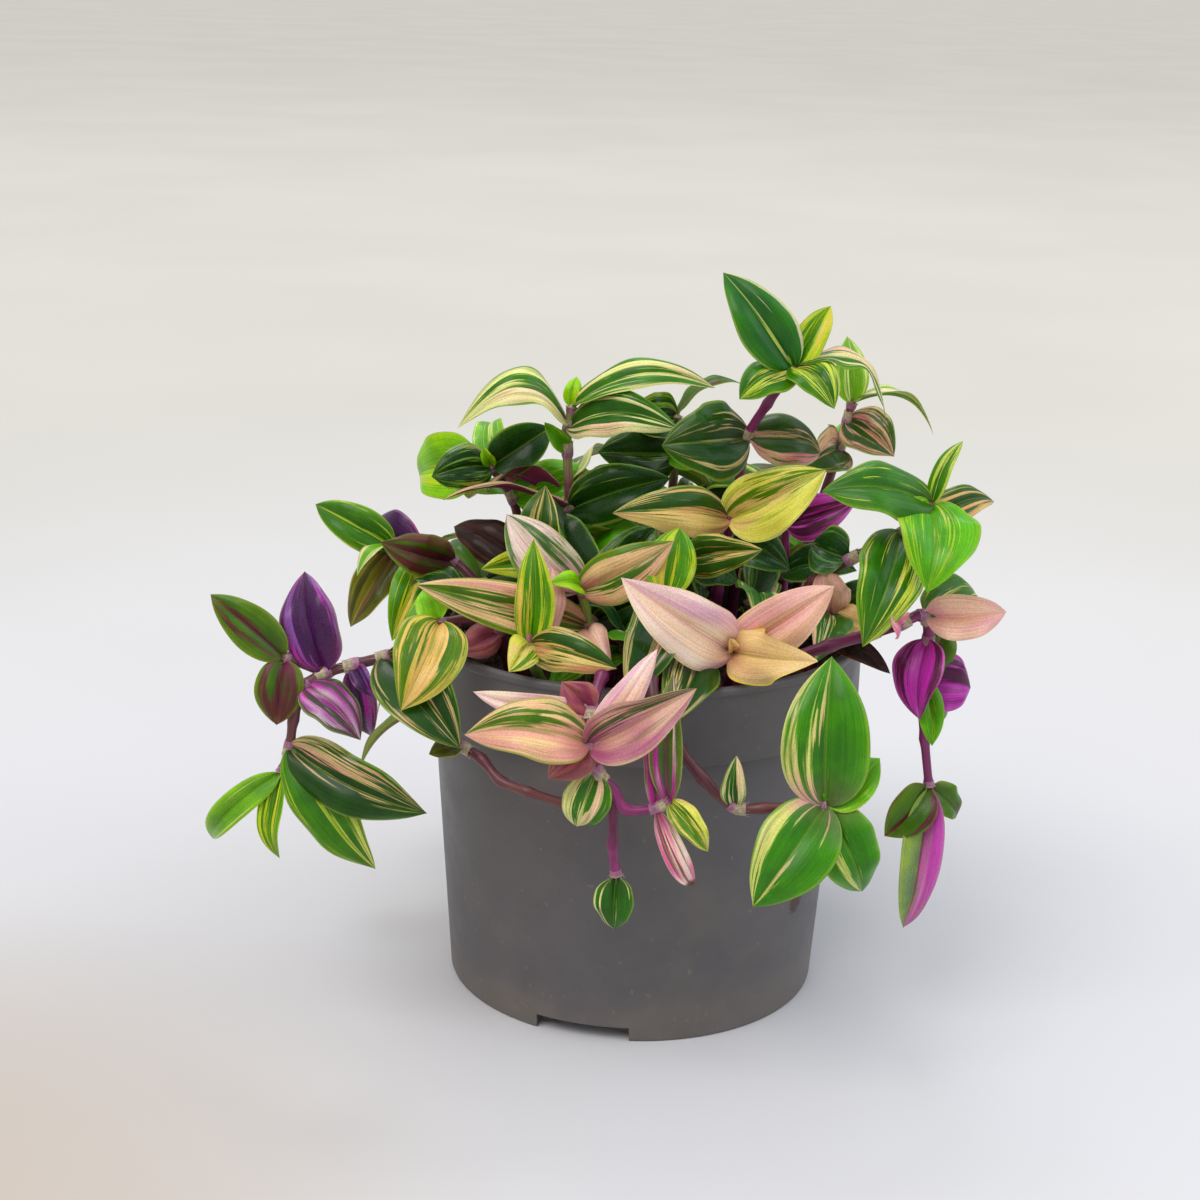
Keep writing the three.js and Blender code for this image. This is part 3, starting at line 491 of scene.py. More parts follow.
class Look(Enum):
    """The looks of leaves that grow on this plant, by the upper side, which is titled by its name here."""

    CENTRE_STRIPE = LeafFinish(
        (46, 108, 46), (200, 190, 170), (186, 200, 100), 0.14, 0.35, 3.0, 0.14, foot_strength=0.0,
    )
    GREEN_WHITE = LeafFinish((52, 104, 22), (206, 204, 156), (212, 178, 156), 0.34, 0.35, 4.4, 0.05)
    GREEN_CREAM = LeafFinish((60, 116, 14), (188, 198, 90), (206, 184, 130), 0.3, 0.25, 4.4, streaks=0.4)
    GREEN_BLUSH = LeafFinish(
        (50, 84, 26), (196, 166, 140), (190, 128, 132), 0.34, 0.45, 3.0, 0.04, under=UNDER_MAGENTA,
    )
    GREEN_PLAIN = LeafFinish(
        (88, 152, 12), (158, 186, 50), (188, 190, 90), 0.2, 0.2, 6.0, streaks=0.5, foot_strength=0.0,
    )
    PALE_GREEN = LeafFinish(
        (108, 156, 56), (196, 208, 142), (214, 190, 170), 0.4, 0.3, 4.4, foot_strength=0.0,
    )
    DARK_GREEN = LeafFinish(
        (32, 72, 16), (120, 154, 60), (164, 158, 92), 0.18, 0.2, 4.4, streaks=0.4, gloss=0.3,
        foot_strength=0.0,
    )
    BLUE_GREEN = LeafFinish(
        (40, 84, 46), (110, 150, 96), (140, 160, 120), 0.16, 0.2, 5.0, streaks=0.4, gloss=0.28,
        foot_strength=0.0,
    )
    LIME = LeafFinish(
        (122, 174, 10), (176, 198, 40), (204, 200, 80), 0.3, 0.2, 5.0, streaks=0.4, under=UNDER_YELLOW,
        foot_strength=0.0,
    )
    LIME_STRIPED = LeafFinish(
        (82, 138, 16), (184, 194, 56), (208, 182, 104), 0.5, 0.3, 4.4, streaks=0.3, under=UNDER_YELLOW,
        foot_strength=0.0,
    )
    LIME_BAND = LeafFinish(
        (66, 120, 14), (176, 190, 84), (200, 200, 130), 0.3, 0.3, 3.0, 0.1, foot_strength=0.0,
    )
    YELLOW_STRIPED = LeafFinish(
        (92, 132, 24), (210, 206, 108), (214, 190, 136), 0.62, 0.45, 3.2, streaks=0.3, under=UNDER_YELLOW,
        foot_strength=0.0,
    )
    TAN_GREEN = LeafFinish(
        (54, 94, 28), (202, 180, 122), (202, 158, 120), 0.6, 0.4, 3.6, streaks=0.3, under=UNDER_YELLOW,
    )
    CREAM_GREEN = LeafFinish((64, 118, 22), (210, 210, 150), (216, 192, 162), 0.46, 0.35, 3.0)
    PINK_GREEN = LeafFinish(
        (70, 92, 40), (202, 166, 154), (180, 122, 146), 0.56, 0.55, 3.8, streaks=0.3, under=UNDER_PINK,
        foot_strength=0.5,
    )
    PINK_CREAM = LeafFinish(
        (220, 196, 176), (232, 214, 198), (214, 178, 190), 0.8, 0.5, 1.8, rib=(212, 158, 176),
        edge=(218, 206, 140), foot_strength=0.5, under=UNDER_PINK,
    )
    WITHERED_TIP = LeafFinish(
        (120, 116, 66), (230, 206, 196), (206, 110, 160), 0.7, 0.4, 2.6, rib=(196, 70, 150),
        rib_strength=0.9, foot_strength=0.8, withered=1.0, under=UNDER_PINK,
    )
    WHITE_MAGENTA = LeafFinish(
        (84, 110, 62), (206, 200, 180), (176, 60, 150), 0.5, 0.5, 3.0, rib=(176, 50, 150), rib_strength=0.8,
        foot=(176, 40, 150), foot_strength=1.0, under=UNDER_MAGENTA,
    )
    DUSKY_PINK = LeafFinish(
        (142, 88, 96), (172, 116, 118), (146, 78, 112), 0.6, 0.4, 3.0, rib=(150, 80, 100),
        edge=(150, 120, 90), under=UNDER_PINK,
    )
    YELLOW_BAND = LeafFinish(
        (88, 124, 16), (200, 184, 92), (208, 178, 118), 0.36, 0.6, 3.4, 0.2, streaks=0.35,
        under=UNDER_YELLOW, foot_strength=0.0,
    )
    GREEN_FINE = LeafFinish(
        (40, 82, 22), (188, 176, 130), (190, 150, 134), 0.3, 0.4, 3.6, 0.06, streaks=0.36,
    )
    GREEN_EDGED = LeafFinish(
        (66, 128, 8), (200, 200, 130), (204, 176, 150), 0.16, 0.3, 3.2, streaks=0.28, foot=(196, 100, 170),
        foot_strength=0.6,
    )
    WHITE_PINK = LeafFinish(
        (76, 112, 70), (206, 190, 180), (206, 172, 176), 0.62, 0.45, 2.6, rib=(206, 176, 176),
        foot_strength=0.5, under=UNDER_PINK,
    )
    PINK = LeafFinish(
        (204, 134, 146), (226, 170, 172), (206, 120, 160), 0.7, 0.4, 3.0, rib=(196, 100, 130),
        edge=(206, 170, 120), foot_strength=0.6, under=UNDER_PINK,
    )
    PEACH = LeafFinish(
        (206, 168, 150), (218, 184, 168), (208, 162, 164), 0.7, 0.45, 2.4, rib=(208, 158, 148),
        edge=(210, 190, 118), foot_strength=0.4, under=UNDER_PINK,
    )
    PEACH_GREEN = LeafFinish(
        (80, 118, 24), (216, 188, 150), (208, 160, 148), 0.6, 0.45, 2.6, streaks=0.3, edge=(140, 150, 40),
        edge_strength=0.8, foot_strength=0.3, under=UNDER_PINK,
    )
    ORANGE_CREAM = LeafFinish(
        (206, 176, 130), (216, 190, 146), (214, 180, 150), 0.7, 0.3, 2.4, edge=(216, 198, 56),
        edge_strength=0.9, foot_strength=0.2, frill=5.0, under=UNDER_YELLOW,
    )
    MAGENTA = LeafFinish(
        (96, 40, 84), (178, 66, 168), (190, 100, 182), 0.66, 0.3, 3.0, rib=(110, 20, 84),
        edge=(190, 110, 160), under=UNDER_MAGENTA, gloss=0.34,
    )
    HALF_MAGENTA = LeafFinish(
        (124, 150, 112), (190, 90, 178), (196, 140, 180), 0.5, 0.3, 0.5, rib=(170, 60, 140),
        rib_strength=0.8, edge=(130, 130, 80), under=UNDER_MAGENTA,
    )
    PURPLE = LeafFinish(
        (84, 46, 98), (136, 92, 156), (170, 60, 160), 0.45, 0.45, 2.6, rib=(60, 24, 48), edge=(150, 110, 80),
        foot_strength=0.6, under=UNDER_MAGENTA, gloss=0.3,
    )
    PURPLE_GREEN = LeafFinish(
        (74, 112, 28), (104, 58, 66), (120, 84, 74), 0.3, 0.3, 1.8, 0.12, rib=(104, 60, 84),
        edge=(130, 150, 60), foot_strength=0.4, under=UNDER_MAGENTA, gloss=0.34,
    )
    LILAC_STRIPED = LeafFinish(
        (88, 88, 80), (190, 176, 188), (158, 56, 148), 0.42, 0.5, 3.0, foot=(190, 60, 170),
        foot_strength=0.8, under=UNDER_MAGENTA, gloss=0.32,
    )
    OLIVE = LeafFinish((74, 84, 22), (134, 132, 50), (120, 70, 80), 0.35, 0.3, 4.0, under=UNDER_MAGENTA)
    DRY = LeafFinish(
        (46, 20, 14), (74, 38, 24), (92, 56, 36), 0.4, 0.3, 5.0, rib=(90, 50, 36), edge=(110, 70, 50),
        under=UNDER_MAGENTA, gloss=0.6, frill=2.0,
    )

    def material(self) -> Material:
        """Gives the material of the upper side."""
        return replace(self.value, title=f"leaf_{self.name.lower()}").material()


class StemSkin(SharedEffect):
    """The skin of a stem: two colours that run into each other, in fine lines along it."""

    title = "stem_skin"
    takes = {"Map": VECTOR, "Traits": VECTOR, "Low": COLOUR, "High": COLOUR, "Turn": 0.5}
    gives = {"Colour": COLOUR, "Height": FLOAT}

    def fill(self, board: NodeBoard, entry: Outputs) -> Feeds:
        """Builds the stem's colour and height.

        Args:
            board: the group's board.
            entry: what comes in.

        Returns:
            What goes out, by name.
        """
        around, along = board.parts(entry["Map"])[:2]
        shift = board.times(board.parts(entry["Traits"])[0], 41.0)
        lines = board.noise(board.combine(board.times(around, 9.0), board.times(along, 6.0), shift), 1.0, 2.0)
        place = board.here()
        blend = board.line(board.noise(place, 140.0, 2.0), 0.5, along)
        high = board.remap(blend, entry["Turn"], board.plus(entry["Turn"], 0.35))
        colour = board.mix(high, entry["Low"], entry["High"])
        colour = board.shaded(colour, board.remap(lines, 0.25, 0.75, 0.75, 1.5))
        return {"Colour": colour, "Height": board.line(board.noise(place, 1800.0, 1.0), 0.3, lines)}


@dataclass(frozen=True)
class StemFinish(Finish):
    """The colours of a stem near its root and near its tip, and where they meet."""

    low: Screen
    high: Screen
    turn: float
    shine: float = 0.38

    def surface(self, board: NodeBoard) -> Feeds:
        """Builds the stem's skin.

        Args:
            board: the material's board.

        Returns:
            What the shader takes, by input.
        """
        values = {**board.grown(), "Low": paint(*self.low), "High": paint(*self.high), "Turn": self.turn}
        skin = StemSkin().place(board, values)
        return {
            "Base Color": skin["Colour"],
            "Normal": board.bump(skin["Height"], 0.00012, 0.6),
            "Roughness": self.shine,
            "Subsurface Weight": 0.15,
            "Subsurface Radius": (1.0, 0.5, 0.4),
            "Subsurface Scale": 0.0012,
            "Specular IOR Level": 0.45,
        }


class StemLook(Enum):
    """The looks of stems on this plant."""

    MAGENTA = StemFinish("stem_magenta", (92, 20, 60), (120, 36, 90), 0.6)
    BROWN = StemFinish("stem_brown", (80, 32, 44), (100, 54, 56), 0.8)
    FADING = StemFinish("stem_fading", (104, 30, 72), (140, 134, 84), 0.85)
    GREEN = StemFinish("stem_green", (104, 96, 60), (122, 150, 70), 0.5)


SHEATH_SKIN = StemFinish("leaf_sheath", (146, 96, 124), (164, 148, 122), 0.5, 0.45)
HAIR_SKIN = StemFinish("sheath_hair", (222, 214, 196), (232, 226, 210), 0.5, 0.5)


class Foliage(Enum):
    """The record's finishes that a shoot's node can have."""

    GREEN = "foliage_green"
    YELLOW = "foliage_yellow"
    PINK = "foliage_pink"
    PURPLE = "foliage_purple"


class Face(Enum):
    """Directions that the upper side of a blade can face."""

    FRONT = (0, -3, 1)
    SKY = (0, 0, 1)
    SLOPE = (0, -1, 1)
    HIGH = (0, -1, 2)
    LEFT_FRONT = (-2, -3, 1)
    RIGHT_FRONT = (2, -3, 1)


def unit(vector: Array) -> Array:
    """Gives a vector the length 1."""
    return vector / np.linalg.norm(vector)


@dataclass(frozen=True)
class Leaf:
    """One leaf: the stem's joint that it grows from, its tip, width, look, arch and facing.

    Its stripes lean to one side of the rib, and it has more or less of the light colour than its look says.
    """

    joint: int
    tip: Point
    width: float
    look: Look
    arch: float
    lean: float = 0.0
    more: float = 0.0
    face: Face | Point = Face.FRONT

    def ways(self, base: Array, tip: Array) -> tuple[float, Array, Array, Array]:
        """Gives a blade's length and the directions along, out of and across it.

        Args:
            base: where it starts.
            tip: where it ends.

        Returns:
            The length and the three directions.
        """
        length = float(np.linalg.norm(tip - base))
        along = (tip - base) / length
        out = np.array(self.face.value if isinstance(self.face, Face) else self.face, float)
        out = unit(out - along * float(out @ along))
        return length, along, out, np.cross(along, out)


@dataclass(frozen=True)
class ShootPlan:
    """One leafy stem: its joints, its leaves, its runs where it branches, and leaves inside the plant."""

    title: str
    foliage: Foliage
    stem_look: StemLook
    points: tuple[Point, ...]
    leaves: tuple[Leaf, ...]
    stems: tuple[tuple[int, ...], ...] = ()
    hidden: tuple[Leaf, ...] = ()

    def node(self) -> str:
        """Gives the name of the solid that the shoot stands for."""
        return f"shoot_{self.title}"

    def runs(self) -> tuple[tuple[int, ...], ...]:
        """Gives the joints that each run of the stem passes."""
        return self.stems or (tuple(range(len(self.points))),)


SHOOTS: tuple[ShootPlan, ...] = (
    ShootPlan("crown_right", Foliage.GREEN, StemLook.MAGENTA, (
        (24, 6, 0), (25, 4, 112), (25, 2, 143), (26, 0, 150), (31, -4, 160), (37, -8, 170),
    ), (
        Leaf(5, (19, -8, 194), 15, Look.CENTRE_STRIPE, 0.08, 0.9, 0.05),
        Leaf(5, (63, -6, 162), 13, Look.GREEN_WHITE, 0.25, -0.5, face=Face.SKY),
        Leaf(5, (23, -16, 167), 13, Look.GREEN_CREAM, 0.1, 0, 0.1, face=Face.HIGH),
        Leaf(5, (47, -20, 163), 13, Look.GREEN_CREAM, 0.2, -0.3, 0.1, face=Face.HIGH),
        Leaf(5, (46, -4, 186), 9, Look.LIME_STRIPED, 0.05, 0, -0.1),
        Leaf(3, (6, -14, 151), 20, Look.GREEN_FINE, 0.08, 0, -0.12),
        Leaf(3, (48, 8, 147), 15, Look.GREEN_BLUSH, 0.1, 0, 0.05, face=Face.SLOPE),
    )),
    ShootPlan("crown_rear_right", Foliage.GREEN, StemLook.BROWN, (
        (42, 24, 0), (45, 26, 112), (53, 28, 141), (55, 30, 149), (56, 30, 154),
    ), (
        Leaf(4, (54, 32, 172), 9, Look.PALE_GREEN, 0.1),
        Leaf(4, (79, 28, 147), 9, Look.PALE_GREEN, 0.25, -0.3, face=Face.SKY),
        Leaf(2, (45, 14, 141), 14, Look.GREEN_BLUSH, 0.1, 0, 0.1),
        Leaf(3, (67, 20, 142), 14, Look.GREEN_BLUSH, 0.1, 0, 0.1),
        Leaf(2, (70, 44, 140), 13, Look.GREEN_PLAIN, 0.15, face=Face.SKY),
        Leaf(1, (34, 46, 124), 14, Look.GREEN_PLAIN, 0.15, face=Face.SKY),
    )),
    ShootPlan("reach_right", Foliage.GREEN, StemLook.BROWN, (
        (34, -14, 0), (39, -18, 106), (44, -20, 117), (53, -22, 124), (65, -25, 132), (72, -27, 140),
    ), (
        Leaf(5, (44, -34, 145), 18, Look.GREEN_CREAM, 0.12, 0.4, -0.05, face=Face.SLOPE),
        Leaf(5, (70, -48, 126), 20, Look.GREEN_PLAIN, 0.08, 0.5, -0.1),
        Leaf(4, (56, -50, 113), 17, Look.GREEN_CREAM, 0.1, -0.5, -0.05),
        Leaf(5, (79, -22, 156), 5, Look.LIME_BAND, 0.15, face=Face.LEFT_FRONT),
        Leaf(4, (92, -8, 140), 10, Look.TAN_GREEN, 0.1, 0.5, -0.3, face=Face.SLOPE),
        Leaf(3, (43, -14, 126), 13, Look.BLUE_GREEN, 0.1),
    )),
    ShootPlan("trail_right", Foliage.PURPLE, StemLook.MAGENTA, (
        (26, -30, 0), (30, -34, 97), (37, -42, 103), (47, -42, 107), (57, -38, 109), (65, -35, 111),
        (71, -33, 113), (73, -31, 106), (72, -30, 95), (74, -30, 79), (76, -30, 66),
    ), (
        Leaf(6, (92, -34, 115), 12, Look.PEACH, 0.05),
        Leaf(6, (88, -18, 117), 11, Look.CREAM_GREEN, 0.1, face=Face.SLOPE),
        Leaf(5, (62, -46, 116), 7, Look.PINK, 0.1),
        Leaf(7, (70, -40, 88), 15, Look.MAGENTA, 0.12, face=Face.LEFT_FRONT),
        Leaf(8, (79, -24, 109), 10, Look.PURPLE_GREEN, 0.1),
        Leaf(8, (86, -27, 92), 16, Look.MAGENTA, 0.12),
        Leaf(8, (75, -38, 80), 7, Look.GREEN_PLAIN, 0.1),
        Leaf(8, (83, -20, 82), 8, Look.PURPLE_GREEN, 0.1),
        Leaf(10, (65, -34, 53), 12, Look.PURPLE_GREEN, 0.12),
        Leaf(10, (72, -36, 26), 11, Look.HALF_MAGENTA, 0.06, -1.6),
        Leaf(10, (85, -24, 55), 8, Look.PURPLE_GREEN, 0.15, face=Face.RIGHT_FRONT),
    )),
    ShootPlan("trail_front_right", Foliage.GREEN, StemLook.BROWN, (
        (4, -42, 0), (4, -49, 101), (3, -60, 103), (5, -66, 95), (10, -67, 88), (16, -68, 81),
        (24, -69, 74), (31, -69, 74), (46, -68, 75),
    ), (
        Leaf(8, (46, -66, 111), 21, Look.GREEN_EDGED, 0.08, -0.85, -0.05),
        Leaf(8, (29, -82, 54), 19, Look.GREEN_EDGED, 0.12, 0.6),
        Leaf(8, (57, -70, 52), 15, Look.GREEN_EDGED, 0.15, 0.5, 0.1),
        Leaf(8, (59, -64, 86), 10, Look.GREEN_PLAIN, 0.05, 0.3, 0.05),
        Leaf(6, (24, -71, 87), 6, Look.GREEN_WHITE, 0.1),
    )),
    ShootPlan("front_pink", Foliage.PINK, StemLook.MAGENTA, (
        (22, -36, 0), (23, -40, 98), (23, -46, 106),
    ), (
        Leaf(2, (-3, -60, 127), 17, Look.PINK_CREAM, 0.12, 0.2),
        Leaf(2, (46, -52, 125), 15, Look.PEACH, 0.1),
        Leaf(2, (39, -66, 111), 14, Look.ORANGE_CREAM, 0.08),
        Leaf(2, (22, -53, 111), 4, Look.ORANGE_CREAM, 0.1),
    )),
    ShootPlan("front_fall", Foliage.GREEN, StemLook.BROWN, (
        (9, -32, 0), (11, -36, 98), (13, -41, 103), (6, -41, 118),
    ), (
        Leaf(2, (15, -72, 97), 14, Look.GREEN_FINE, 0.12, 0, -0.05),
        Leaf(3, (1, -66, 103), 14, Look.GREEN_FINE, 0.06),
        Leaf(3, (9, -33, 134), 13, Look.LIME_STRIPED, 0.08),
    )),
    ShootPlan("crown_left", Foliage.GREEN, StemLook.FADING, (
        (-20, 8, 0), (-20, 8, 113), (-20, 8, 127), (-21, 8, 143), (-21, 8, 149), (-20, 8, 155),
    ), (
        Leaf(4, (-49, 0, 153), 14, Look.CREAM_GREEN, 0.4, -0.5, face=Face.HIGH),
        Leaf(5, (17, 4, 164), 11, Look.CREAM_GREEN, 0.18, 0.5, face=Face.HIGH),
        Leaf(4, (7, -6, 155), 14, Look.GREEN_WHITE, 0.15, 0.8, 0.05, face=Face.SLOPE),
        Leaf(2, (-52, -6, 136), 11, Look.GREEN_BLUSH, 0.08, 0, 0.2, face=Face.SKY),
        Leaf(5, (-19, 10, 163), 5, Look.LIME, 0.1),
        Leaf(3, (-27, 6, 151), 5, Look.GREEN_PLAIN, 0.1),
    ), hidden=(
        Leaf(2, (6, 2, 138), 16, Look.DARK_GREEN, 0.15),
        Leaf(1, (-2, -2, 126), 17, Look.GREEN_PLAIN, 0.12, 0, -0.1, face=Face.SLOPE),
        Leaf(1, (-46, 4, 120), 16, Look.DARK_GREEN, 0.12, face=Face.SLOPE),
    )),
    ShootPlan("left_upper", Foliage.GREEN, StemLook.BROWN, (
        (-32, 18, 0), (-33, 18, 112), (-36, 18, 127), (-42, 17, 136),
    ), (
        Leaf(3, (-66, 30, 130), 18, Look.LIME, 0.08),
        Leaf(3, (-57, 8, 135), 13, Look.DARK_GREEN, 0.1, 0, 0.1),
        Leaf(3, (-26, 20, 147), 13, Look.DARK_GREEN, 0.12, 0, -0.1),
        Leaf(3, (-43, 36, 147), 9, Look.PALE_GREEN, 0.1),
        Leaf(3, (-44, 15, 142), 4, Look.LIME, 0.1),
        Leaf(2, (-50, 38, 124), 13, Look.GREEN_PLAIN, 0.15, face=Face.SKY),
    ), hidden=(Leaf(2, (-14, 24, 134), 17, Look.GREEN_PLAIN, 0.12, 0, -0.05),)),
    ShootPlan("left_mid", Foliage.GREEN, StemLook.BROWN, (
        (-40, 2, 0), (-43, 2, 105), (-51, 6, 112), (-60, 8, 111), (-67, 10, 114),
    ), (
        Leaf(4, (-90, 14, 125), 12, Look.LIME_BAND, 0.1),
        Leaf(2, (-68, -6, 120), 12, Look.PURPLE_GREEN, 0.12, 0, 0.2),
        Leaf(3, (-75, 22, 121), 12, Look.PURPLE, 0.1),
        Leaf(4, (-79, 2, 94), 11, Look.OLIVE, 0.12),
        Leaf(3, (-66, -8, 95), 11, Look.LIME_STRIPED, 0.15, 0, -0.1),
        Leaf(4, (-76, -4, 112), 6, Look.PALE_GREEN, 0.15, face=Face.SKY),
    )),
    ShootPlan("trail_left", Foliage.PURPLE, StemLook.BROWN, (
        (-30, -24, 0), (-35, -29, 99), (-44, -38, 103), (-63, -44, 101), (-71, -45, 99), (-78, -46, 97),
        (-88, -47, 101), (-83, -48, 94), (-86, -48, 85), (-87, -48, 78), (-89, -48, 71), (-57, -49, 89),
        (-43, -55, 82), (-38, -58, 80), (-33, -62, 76), (-26, -66, 75), (-17, -68, 73),
    ), (
        Leaf(3, (-43, -64, 85), 18, Look.GREEN_FINE, 0.12, 0, -0.05),
        Leaf(9, (-52, -60, 66), 15, Look.GREEN_FINE, 0.12, 0, -0.1),
        Leaf(9, (-65, -58, 49), 14, Look.LIME_BAND, 0.1),
        Leaf(10, (-111, -44, 48), 8, Look.PALE_GREEN, 0.15, 0, -0.2),
        Leaf(10, (-94, -54, 49), 7, Look.LIME_STRIPED, 0.1, face=Face.LEFT_FRONT),
        Leaf(6, (-106, -48, 117), 11, Look.PURPLE_GREEN, 0.08),
        Leaf(5, (-85, -38, 121), 15, Look.PURPLE, 0.1),
        Leaf(6, (-90, -50, 84), 12, Look.PURPLE_GREEN, 0.15, 0, 0.25),
        Leaf(7, (-68, -57, 84), 12, Look.LILAC_STRIPED, 0.15, face=Face.SLOPE),
        Leaf(4, (-68, -40, 77), 8, Look.PURPLE, 0.1),
        Leaf(4, (-66, -51, 93), 5, Look.PURPLE, 0.1),
        Leaf(12, (-51, -58, 81), 6, Look.OLIVE, 0.1, face=Face.SLOPE),
    ), stems=((0, 1, 2, 3, 4, 5, 7, 8, 9, 10), (5, 6), (3, 11, 12, 13, 14, 15, 16))),
    ShootPlan("rim_left", Foliage.YELLOW, StemLook.BROWN, (
        (-33, -31, 0), (-36, -35, 106), (-43, -39, 110), (-50, -43, 110),
    ), (
        Leaf(3, (-57, -64, 95), 18, Look.YELLOW_BAND, 0.15, 0, 0.13),
        Leaf(3, (-55, -38, 117), 8, Look.LIME, 0.1),
        Leaf(1, (-45, -46, 104), 9, Look.DUSKY_PINK, 0.1),
    )),
    ShootPlan("centre_low", Foliage.YELLOW, StemLook.GREEN, (
        (-24, -38, 0), (-26, -42, 99), (-27, -46, 106),
    ), (
        Leaf(2, (-27, -46, 132), 10, Look.LIME_STRIPED, 0.06, -0.4, 0.15),
        Leaf(2, (-22, -38, 124), 11, Look.PEACH, 0.08, face=Face.RIGHT_FRONT),
        Leaf(2, (-7, -61, 106), 11, Look.TAN_GREEN, 0.1, 0, 0.02),
        Leaf(2, (-31, -59, 104), 9, Look.YELLOW_STRIPED, 0.1),
    )),
    ShootPlan("centre_pink", Foliage.PINK, StemLook.GREEN, (
        (-12, -26, 0), (-13, -31, 106), (-15, -35, 117),
    ), (
        Leaf(2, (-35, -28, 135), 14, Look.WHITE_PINK, 0.08, 0, 0.18),
        Leaf(2, (6, -42, 132), 13, Look.PEACH_GREEN, 0.08, 0.6, 0.12),
        Leaf(2, (-22, -44, 122), 7, Look.LIME, 0.15, face=Face.SLOPE),
        Leaf(1, (-56, -47, 115), 13, Look.PEACH_GREEN, 0.12, 0.3, -0.06),
        Leaf(1, (-9, -50, 106), 9, Look.PEACH, 0.12),
    )),
    ShootPlan("inner_left", Foliage.GREEN, StemLook.BROWN, (
        (-27, -10, 0), (-28, -12, 104), (-29, -14, 117),
    ), (
        Leaf(2, (-26, -14, 138), 12, Look.TAN_GREEN, 0.08, 0, -0.2),
        Leaf(2, (-38, -30, 121), 9, Look.LIME_STRIPED, 0.1),
        Leaf(2, (-50, -6, 127), 12, Look.DRY, 0.15, face=Face.SLOPE),
        Leaf(1, (-41, -32, 109), 10, Look.MAGENTA, 0.1, face=Face.SLOPE),
    )),
    ShootPlan("inner_dark", Foliage.GREEN, StemLook.GREEN, (
        (-10, -14, 0), (-12, -18, 104), (-13, -19, 113),
    ), (
        Leaf(2, (-25, -7, 136), 9, Look.DARK_GREEN, 0.05, face=Face.RIGHT_FRONT),
        Leaf(2, (4, -8, 128), 13, Look.DARK_GREEN, 0.1),
        Leaf(1, (6, -26, 116), 12, Look.DARK_GREEN, 0.1),
    ), hidden=(
        Leaf(2, (-30, -4, 130), 16, Look.DARK_GREEN, 0.12, face=Face.SLOPE),
        Leaf(1, (12, -4, 122), 16, Look.BLUE_GREEN, 0.12, face=Face.SLOPE),
    )),
    ShootPlan("inner_yellow", Foliage.YELLOW, StemLook.MAGENTA, (
        (20, -6, 0), (20, -7, 110), (22, -8, 124), (22, -12, 131),
    ), (
        Leaf(3, (-6, -28, 136), 13, Look.TAN_GREEN, 0.12, -0.6, 0.15),
        Leaf(3, (44, -24, 147), 17, Look.YELLOW_STRIPED, 0.08, 0.3, 0.16),
        Leaf(2, (38, -16, 120), 12, Look.BLUE_GREEN, 0.12, face=Face.SLOPE),
        Leaf(2, (3, 4, 132), 13, Look.DARK_GREEN, 0.12, face=Face.SLOPE),
    )),
    ShootPlan("inner_right", Foliage.GREEN, StemLook.GREEN, (
        (10, -18, 0), (10, -20, 110), (11, -22, 122),
    ), (
        Leaf(2, (29, -38, 130), 11, Look.TAN_GREEN, 0.12, 0, -0.2),
        Leaf(2, (25, -22, 118), 12, Look.BLUE_GREEN, 0.12, face=Face.SLOPE),
        Leaf(2, (0, -34, 124), 9, Look.GREEN_WHITE, 0.1),
    )),
    ShootPlan("inner_magenta", Foliage.PURPLE, StemLook.MAGENTA, (
        (38, 6, 0), (38, 5, 112), (38, 4, 126),
    ), (
        Leaf(2, (55, -4, 135), 12, Look.MAGENTA, 0.12),
        Leaf(1, (56, -6, 117), 12, Look.BLUE_GREEN, 0.12, face=Face.SLOPE),
        Leaf(2, (28, 22, 134), 12, Look.GREEN_PLAIN, 0.15, face=Face.SKY),
    )),
    ShootPlan("front_low", Foliage.PINK, StemLook.MAGENTA, (
        (-7, -44, 0), (-8, -50, 101), (-9, -60, 103), (-11, -73, 99), (-11, -78, 92), (-9, -79, 86),
        (-5, -79, 81), (-2, -80, 77), (5, -81, 78), (8, -81, 80), (-5, -76, 66), (-4, -75, 58),
    ), (
        Leaf(4, (-39, -84, 98), 15, Look.PEACH_GREEN, 0.2, -0.35, 0.2, face=Face.SLOPE),
        Leaf(4, (11, -88, 109), 14, Look.PINK_GREEN, 0.1, 0, 0.1),
        Leaf(4, (3, -82, 116), 8, Look.PINK_CREAM, 0.15),
        Leaf(9, (8, -80, 110), 8, Look.WHITE_MAGENTA, 0.08),
        Leaf(8, (2, -78, 97), 5, Look.WHITE_MAGENTA, 0.05),
        Leaf(9, (18, -86, 70), 7, Look.YELLOW_STRIPED, 0.15, face=Face.SLOPE),
        Leaf(8, (15, -78, 56), 6, Look.WITHERED_TIP, 0.2),
        Leaf(4, (-20, -84, 86), 10, Look.DUSKY_PINK, 0.15),
        Leaf(3, (-18, -74, 106), 9, Look.DUSKY_PINK, 0.12),
        Leaf(5, (-14, -78, 70), 11, Look.CREAM_GREEN, 0.12),
        Leaf(11, (-4, -75, 43), 10, Look.GREEN_WHITE, 0.08, 0, -0.1),
        Leaf(3, (-39, -74, 103), 7, Look.PINK_CREAM, 0.1),
    ), stems=((0, 1, 2, 3, 4, 5, 6, 7, 8, 9), (6, 10, 11))),
    ShootPlan("rim_right", Foliage.GREEN, StemLook.BROWN, (
        (45, -14, 0), (47, -17, 101), (49, -19, 108),
    ), (
        Leaf(2, (45, -40, 104), 11, Look.GREEN_WHITE, 0.12),
        Leaf(2, (62, -24, 104), 9, Look.ORANGE_CREAM, 0.12),
        Leaf(2, (46, -22, 122), 10, Look.PEACH, 0.1),
